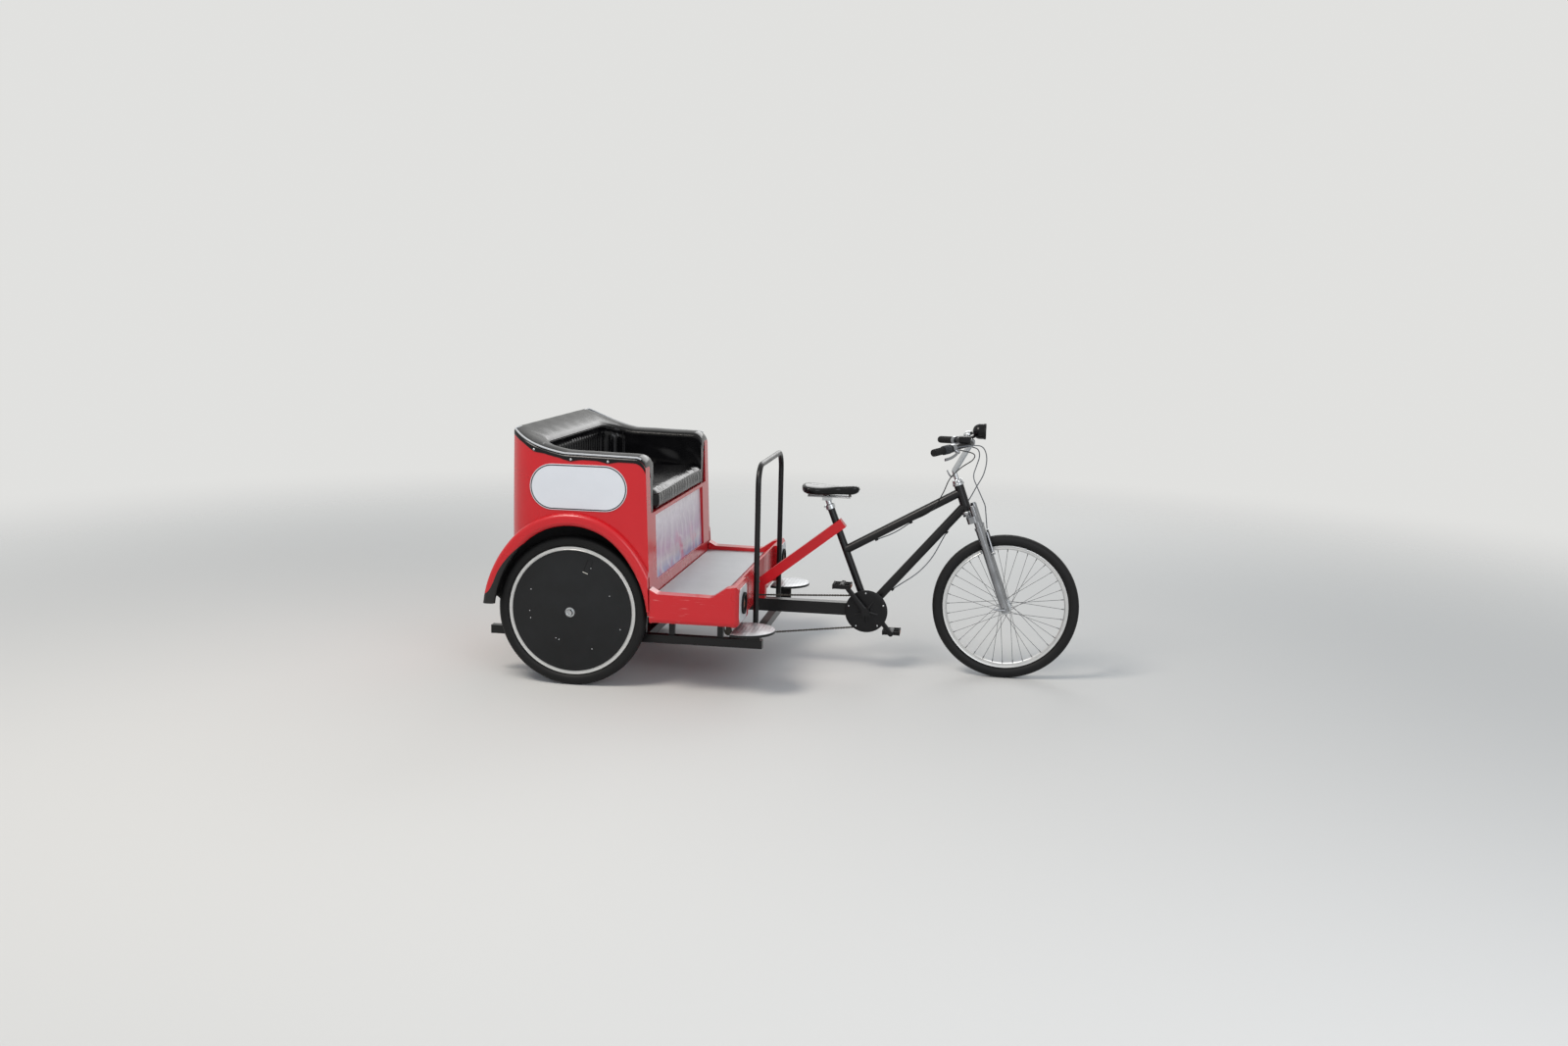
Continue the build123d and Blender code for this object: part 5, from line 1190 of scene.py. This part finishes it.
def crank_arm(hand):
    """Bar from the spindle to the pedal: half height 16.5 to 11 mm, a little waisted, and
    half thickness 6.8 mm, with a section squared by a power of 0.6, a round boss at both
    ends and the pedal's pin."""
    t = np.linspace(0, 1, 24)
    a = np.linspace(0, 2 * np.pi, 20, endpoint=False)
    half_h = (0.0165 - 0.0055 * t) * (1 - 0.12 * np.sin(np.pi * t))
    wide = half_h[:, None] * squared(np.cos(a), 0.6)[None]
    thick = 0.0068 * squared(np.sin(a), 0.6)[None]
    go = np.array([math.cos(CRANK_AT), 0, math.sin(CRANK_AT)]) * -hand
    beside = np.array([-go[2], 0, go[0]])
    start = np.array([BB[0], hand * ARM_Y, BB[1]])
    arm = capped(start + CRANK_L * t[:, None, None] * go + wide[..., None] * beside
                 + thick[..., None] * [0, 1, 0])
    (x, y, z), (tip_x, tip_y, tip_z) = start, start + CRANK_L * go
    return joined(arm, round_bar(x, z, y - BOSS_HALF, y + BOSS_HALF, 0.018),
                  round_bar(tip_x, tip_z, tip_y - BOSS_HALF, tip_y + BOSS_HALF, 0.0128),
                  round_bar(x, z, y + BOSS_HALF * hand, y + 0.0085 * hand, 0.011),
                  round_bar(tip_x, tip_z, tip_y, tip_y + hand * 0.093, 0.0058, 12))


spider = []
for k in range(5):
    at = CRANK_AT + 2 * math.pi * k / 5
    tip = (BB[0] + 0.056 * math.cos(at), -0.0555, BB[1] + 0.056 * math.sin(at))
    spider.append(tube([(BB[0], -0.0600, BB[1]), tip], [0.009, 0.0055], 10))
hub_plug = spin([(0.0, -0.0115), (0.030, -0.0115), (0.030, 0.0020), (0.0, 0.0020)], 40)
crank_parts = joined(crank_arm(1), crank_arm(-1), round_bar(*BB, -ARM_Y, ARM_Y, 0.0085),
                     sprocket(RING_R, -CHAIN_SIDE, 0.0030, 0.030, BB), *spider,
                     moved(hub_plug, (BB[0], -CHAIN_SIDE, BB[1])))
make("crank_arms", crank_parts, black_alloy, "crank", ("crankset",))
guard = spin([(0.074, -0.0020), (0.097, -0.0020), (0.0995, -0.0008), (0.0995, 0.0008),
              (0.097, 0.0014), (0.074, 0.0014)], 120, closed=True)
guard_face = spin([(0.020, -0.0012), (0.074, -0.0012), (0.074, 0.0008), (0.020, 0.0008)], 96,
                  closed=True)
make("chain_guard", moved(joined(guard, guard_face), (BB[0], GUARD_Y, BB[1])), black_plastic,
     "crank")


# Pedals: black moulded platforms, open between the cross bars, with toothed edges and
# amber reflectors front and back.
amber = worn("amber_lens", "#B04A10", "#D2691E", 0.02, (0.1, 0.2), 0.0001,
             Transmission_Weight=0.2)


def block(low, high, bevel=0.0015):
    """Box with bevelled upright edges: an eight-sided outline drawn in at top and bottom."""
    (x0, y0, z0), (x1, y1, z1) = low, high
    rows = []
    for inset, z in ((bevel, z0), (0, z0 + bevel), (0, z1 - bevel), (bevel, z1)):
        ax, bx, ay, by = x0 + inset, x1 - inset, y0 + inset, y1 - inset
        rows.append([(ax + bevel, ay, z), (bx - bevel, ay, z), (bx, ay + bevel, z),
                     (bx, by - bevel, z), (bx - bevel, by, z), (ax + bevel, by, z),
                     (ax, by - bevel, z), (ax, ay + bevel, z)])
    return capped(np.array(rows))


for name in ("left", "right"):
    (x0, y0, z0), (x1, y1, z1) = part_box("pedal_" + name)
    mx, my, mz = (x0 + x1) / 2, (y0 + y1) / 2, (z0 + z1) / 2
    parts = [block((mx - 0.011, y0 + 0.001, mz - 0.010),
                   (mx + 0.011, y1 - 0.001, mz + 0.010), 0.003)]
    for x in (x0, x1 - 0.007):
        parts.append(block((x, y0 + 0.004, z0 + 0.002), (x + 0.007, y1 - 0.004, z1 - 0.002)))
        for k in range(9):
            y = y0 + 0.008 + k * (y1 - y0 - 0.020) / 8
            parts.append(block((x + 0.001, y, z0), (x + 0.006, y + 0.004, z1), 0.0006))
    for y in (y0, my - 0.003, y1 - 0.006):
        parts.append(block((x0 + 0.002, y, z0 + 0.003), (x1 - 0.002, y + 0.006, z1 - 0.003)))
    make("pedal_cage_" + name, joined(*parts), black_plastic, "pedal_" + name,
         ("pedal_" + name,))
    lenses = [block((x, my - 0.022, mz - 0.006), (x + 0.0012, my + 0.022, mz + 0.006), 0.0004)
              for x in (x0 - 0.0006, x1 - 0.0006)]
    make("pedal_reflectors_" + name, joined(*lenses), amber, "pedal_" + name)

# Floor sheet of the footwell: one light grey aluminium plate with fine ribs along the
# seat, laid loose on the moulding.
(fx0, fy0, fz0), (_, fy1, fz1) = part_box("floor_mat")
FLOOR_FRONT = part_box("tread_strip")[1][0]
RIB_PITCH, RIB_DEPTH = 0.008, 0.0010


def ribbed_sheet():
    """Plate whose top is a wave over X: height = top - depth (1 - |sin|^0.5) of the pitch,
    closed by edges down to the moulding."""
    count = int((FLOOR_FRONT - fx0) / RIB_PITCH) * 6 + 1
    run = np.linspace(fx0 + 0.001, FLOOR_FRONT - 0.001, count)
    wave = fz1 - RIB_DEPTH * (1 - np.abs(np.sin(np.pi * (run - fx0) / RIB_PITCH)) ** 0.5)
    flat = np.full(count, fz0)
    rows = [np.stack([run, np.full(count, y), height], -1)
            for y, height in ((fy0, flat), (fy0, wave), (0.0, wave), (fy1, wave), (fy1, flat))]
    return capped(np.stack(rows, 1))


floor_metal = worn("ribbed_aluminium", "#8F9296", "#B2B5B8", 0.09, (0.36, 0.55), 0.00005,
                   Metallic=0.7)
make("floor_sheet", ribbed_sheet(), floor_metal, "chassis",
     ("floor_mat", "tread_strip"), sharp=60)

# Step treads: aluminium plate pressed in a lozenge pattern, cut to the step and riveted on
# top, over a black painted steel base.
TREAD_R, TREAD_CUT = 0.1285, 0.0485
step_metal, tree, shader = new_material("lozenge_plate", Roughness=0.36, Metallic=0.75)
spot = spot_on(tree)
turned = add(tree, "ShaderNodeMapping", {"Vector": spot, "Rotation": (0, 0, math.radians(45)),
                                         "Scale": (260, 260, 1)}).outputs[0]
axes = add(tree, "ShaderNodeSeparateXYZ", {"Vector": turned}).outputs
lozenge = maths(tree, "MULTIPLY", maths(tree, "SINE", axes["X"]), maths(tree, "SINE", axes["Y"]))
relief = add(tree, "ShaderNodeBump", {"Height": ranged(tree, lozenge, 0.1, 0.6),
                                      "Distance": 0.0008})
tone = mixed(tree, noise(tree, spot, 14.0, 6.0), "#A4A6A9", "#CDCFD1")
tree.links.new(tone, shader.inputs["Base Color"])
tree.links.new(relief.outputs["Normal"], shader.inputs["Normal"])
limit = math.acos(-TREAD_CUT / TREAD_R)
a = np.linspace(-limit, limit, 72)
for side in ("left", "right"):
    low, high = (np.array(p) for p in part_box("step_" + side))
    heart, top = np.array([high[0] - 0.130, (low[1] + high[1]) / 2]), high[2]
    outline = circle(*heart, TREAD_R, a)
    rings = [np.column_stack([heart + (outline - heart) * share, np.full(72, z)])
             for share, z in ((0, top), (1, top), (1, top + 0.0012), (0.992, top + 0.0016),
                              (0.5, top + 0.0016), (0, top + 0.0016))]
    make("step_tread_" + side, lattice(np.stack(rings), False, True), step_metal, "chassis",
         sharp=30)


# Front lamps: a pale reflector plate, a rubber grommet and a ribbed amber lens of moulded
# plastic that bulges a little.
LAMP_R = 0.0355


def lens_form():
    """Dome with rings: height = 0.8 + 7 (1 - q^2) + 0.5 cos(2 pi r / 5 mm) mm, with q the
    share r / R of the radius."""
    r = np.linspace(0, LAMP_R, 60)
    rise = 0.0070 * (1 - (r / LAMP_R) ** 2) + 0.0005 * np.cos(2 * np.pi * r / 0.005) + 0.0008
    profile = list(zip(r, rise)) + [(LAMP_R, 0.0), (0.0, 0.0)]
    return spin(profile, 64)


TO_FRONT = ((0, 1, 0), (1, 0, 0), (0, 0, 1))
amber_glass = worn("ribbed_amber", "#6E2E0A", "#9A4812", 0.02, (0.12, 0.22), 0.00005)
(lx0, _, lz0), (_, ly1, lz1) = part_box("lamp_lenses")
lamp_lens = [moved(lens_form(), (lx0, hand * (ly1 - (lz1 - lz0) / 2), (lz0 + lz1) / 2), TO_FRONT)
             for hand in (1, -1)]
make("lamp_lenses_ribbed", joined(*lamp_lens), amber_glass, "chassis",
     ("lamp_lenses",))
dress(worn("reflector_plate", "#BFC0C0", "#D9DADA", 0.03, (0.3, 0.45), 0.00005), "lamp_plates")

# Inner side of each arch: the flare is closed towards the middle by a thin black plate, so
# that no light shows between the tyre and the tail of the arch. The plate's black is painted
# shade, standing for the dark of the well behind the tyre.
outside, inside = arch_line(0.0460, 0.372), arch_line(-0.070, 0.372)
for side, hand in (("right", -1), ("left", 1)):
    rows = [over_wheel(line, hand * y) for line, y in (
        (outside, 0.5030), (inside, 0.5030), (inside, 0.5045), (outside, 0.5045))]
    make("splash_plate_" + side, lattice(np.stack(rows), True, False), painted_well_shade, "chassis",
         sharp=40)


# Handlebar fittings: a ribbed twist shifter on the right grip, ribbed rubber grips, a
# chromed bell dome, and the rounded black shell and glass lens of the headlight.
def smooth_line(points, steps=10):
    """Catmull-Rom curve through the points, so many steps a span."""
    p = np.asarray(points, float)
    p = np.vstack([2 * p[0] - p[1], p, 2 * p[-1] - p[-2]])
    t = np.linspace(0, 1, steps, endpoint=False)[:, None]
    spans = [0.5 * (2 * b + (c - a) * t + (2 * a - 5 * b + 4 * c - d) * t ** 2
                    + (3 * b - a - 3 * c + d) * t ** 3)
             for a, b, c, d in zip(p, p[1:], p[2:], p[3:])]
    return np.vstack(spans + [p[-2][None]])


BAR_END = np.array([REAR + 1.547, 0.310, 1.066])
BAR_BEND = np.array([REAR + 1.690, 0.075, 1.087])
BAR_RUN = (BAR_BEND - BAR_END) / np.linalg.norm(BAR_BEND - BAR_END)


def fluted(start, go, length, radius, flutes, depth):
    """Sleeve on a line: radius = R - depth (0.5 - 0.5 cos(flutes a)), closed at both ends."""
    _, beside, above = carried(np.stack([start, start + go * length]))
    a = np.linspace(0, 2 * np.pi, flutes * 6, endpoint=False)
    r = radius - depth * (0.5 - 0.5 * np.cos(flutes * a))
    ring = beside[0] * (np.cos(a) * r)[:, None] + above[0] * (np.sin(a) * r)[:, None]
    return capped(np.stack([start + go * at + ring * share for at, share in (
        (0, 0.93), (0.002, 1), (length - 0.002, 1), (length, 0.93))]))


grip_grey = worn("shifter_grip", "#26282B", "#34373A", 0.01, (0.5, 0.65), 0.00005,
                 Specular_IOR_Level=0.3)
right = np.array([1, -1, 1])
make("twist_shifter",
     fluted((BAR_END + BAR_RUN * 0.070) * right, BAR_RUN * right, 0.052, 0.0205, 18, 0.0016),
     grip_grey, "steering")
grip_ribs = [fluted((BAR_END + BAR_RUN * at) * side, BAR_RUN * side, 0.0045, 0.0167, 4, 0.0)
             for side, end in ((np.array([1, 1, 1]), 0.114), (right, 0.064))
             for at in np.arange(0.004, end, 0.0075)]
make("grip_ribs", joined(*grip_ribs), rubber, "steering")

chrome = worn("chrome_plate", "#B9BBBE", "#D3D5D7", 0.03, (0.08, 0.18), 0.00002, Metallic=1.0)
bell_axis = np.array([-0.006, 0, 0.016]) / math.hypot(0.006, 0.016)
bell_side = np.array([bell_axis[2], 0, -bell_axis[0]])
dome_at = np.linspace(0, np.pi / 2, 12)
dome = [(0.0218 * math.cos(t), 0.0160 * math.sin(t)) for t in dome_at[::-1]]
bell = spin(dome + [(0.0224, -0.0015), (0.0218, -0.0030), (0.0, -0.0030)], 48)
make("bell_dome", moved(bell, (REAR + 1.682, 0.033, 1.1205),
                        np.stack([bell_side, bell_axis, [0, 1, 0]], -1)),
     chrome, "steering")
LIGHT_Y, LIGHT_Z = 0.100, 1.131
back_dome = [(0.036 * math.sin(t), -0.004 - 0.034 * math.cos(t)) for t in dome_at]
shell = spin(back_dome + [(0.036, 0.0135), (0.0, 0.0135)], 64)
make("headlight_dome", moved(shell, (REAR + 1.739, LIGHT_Y, LIGHT_Z), TO_FRONT), vinyl,
     "steering")
glass = worn("lamp_glass", "#B9BCBE", "#CDD0D2", 0.02, (0.05, 0.12), 0.0001)
face = spin([(0.0, 0.0040), (0.012, 0.0036), (0.022, 0.0024), (0.0300, 0.0004), (0.0300, 0.0),
             (0.0, 0.0)], 48)
make("headlight_lens", moved(face, (REAR + 1.7592, LIGHT_Y, LIGHT_Z), TO_FRONT), glass,
     "steering")

# Cables that cross the steering: the rear brake's black housing runs from the right lever
# past the stem to the stop under the top tube, and the gear cable's grey one loops ahead of
# the head tube to the stop under the down tube.
black_sheath = worn("black_cable_sheath", "#0C0C0D", "#171718", 0.02, (0.4, 0.55), 0.00003)
BRAKE_WAY = ((1.652, -0.178, 1.070), (1.715, -0.150, 1.052), (1.712, -0.105, 1.020),
             (1.660, -0.072, 0.978), (1.612, -0.056, 0.925), (1.580, -0.036, 0.850),
             (1.530, -0.018, 0.768), (1.441, 0.0, 0.7135))
GEAR_WAY = ((1.628, -0.196, 1.079), (1.700, -0.120, 1.085), (1.752, -0.040, 1.072),
            (1.772, 0.020, 1.015), (1.761, 0.034, 0.941), (1.728, 0.038, 0.875),
            (1.700, 0.042, 0.820), (1.655, 0.034, 0.748), (1.609, 0.0, 0.6775))
CABLE_R = 0.0025
for name, way, sheath in (("rear_brake_cable", BRAKE_WAY, black_sheath),
                          ("gear_cable", GEAR_WAY, grey_cable)):
    points, faces = tube(smooth_line(way, 14) + [REAR, 0, 0], CABLE_R, 10)
    mesh = bpy.data.meshes.new(name)
    mesh.from_pydata(points.tolist(), [], faces.tolist())
    mesh.shade_smooth()
    mesh.materials.append(sheath)
    made = new_object(name, mesh)
    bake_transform(made)

# Small fittings: bright bolts in the chain guard, the chromed lock rings of the headset and
# the cast lever that clamps the stem.
HEAD_RAKE = math.radians(70)
guard_bolts = []
for k in range(5):
    at = CRANK_AT + 2 * math.pi * (k + 0.5) / 5
    place = (BB[0] + BOLTS_R * math.cos(at), GUARD_Y - 0.002, BB[1] + BOLTS_R * math.sin(at))
    guard_bolts.append(moved(button(0.0042, 0.0020), place, ((1, 0, 0), (0, -1, 0), (0, 0, 1))))
make("guard_bolts", joined(*guard_bolts), alloy, "crank")
HEAD_MID = np.array([REAR + 1.672, 0, 0.831])
HEAD_UP = np.array([-math.cos(HEAD_RAKE), 0, math.sin(HEAD_RAKE)])
HEAD_FORE = np.array([HEAD_UP[2], 0, -HEAD_UP[0]])
stack = [(0.0115, 0.0), (0.0240, 0.0), (0.0250, 0.0010), (0.0250, 0.0045), (0.0236, 0.0052),
         (0.0236, 0.0066), (0.0246, 0.0072), (0.0246, 0.0108), (0.0225, 0.0120),
         (0.0205, 0.0155), (0.0140, 0.0165), (0.0115, 0.0165)]
lock_rings = moved(spin(stack, 48, closed=True), HEAD_MID + HEAD_UP * 0.0758,
                   np.stack([HEAD_FORE, HEAD_UP, [0, 1, 0]], -1))
make("headset_lock_rings", lock_rings, chrome, "steering")
clamp_at = HEAD_MID + HEAD_UP * 0.112 - HEAD_FORE * 0.010
lever = smooth_line([clamp_at - HEAD_FORE * back + HEAD_UP * rise + [0, side, 0]
                     for back, rise, side in ((0, 0, 0), (0.010, 0, -0.012),
                                              (0.016, 0.016, -0.016), (0.018, 0.034, -0.015))], 6)
lever_r = np.interp(np.linspace(0, 1, len(lever)), [0, 0.5, 1], [0.0045, 0.0040, 0.0032])
make("stem_clamp_lever", tube(lever, lever_r, 10), fork_alloy, "steering")
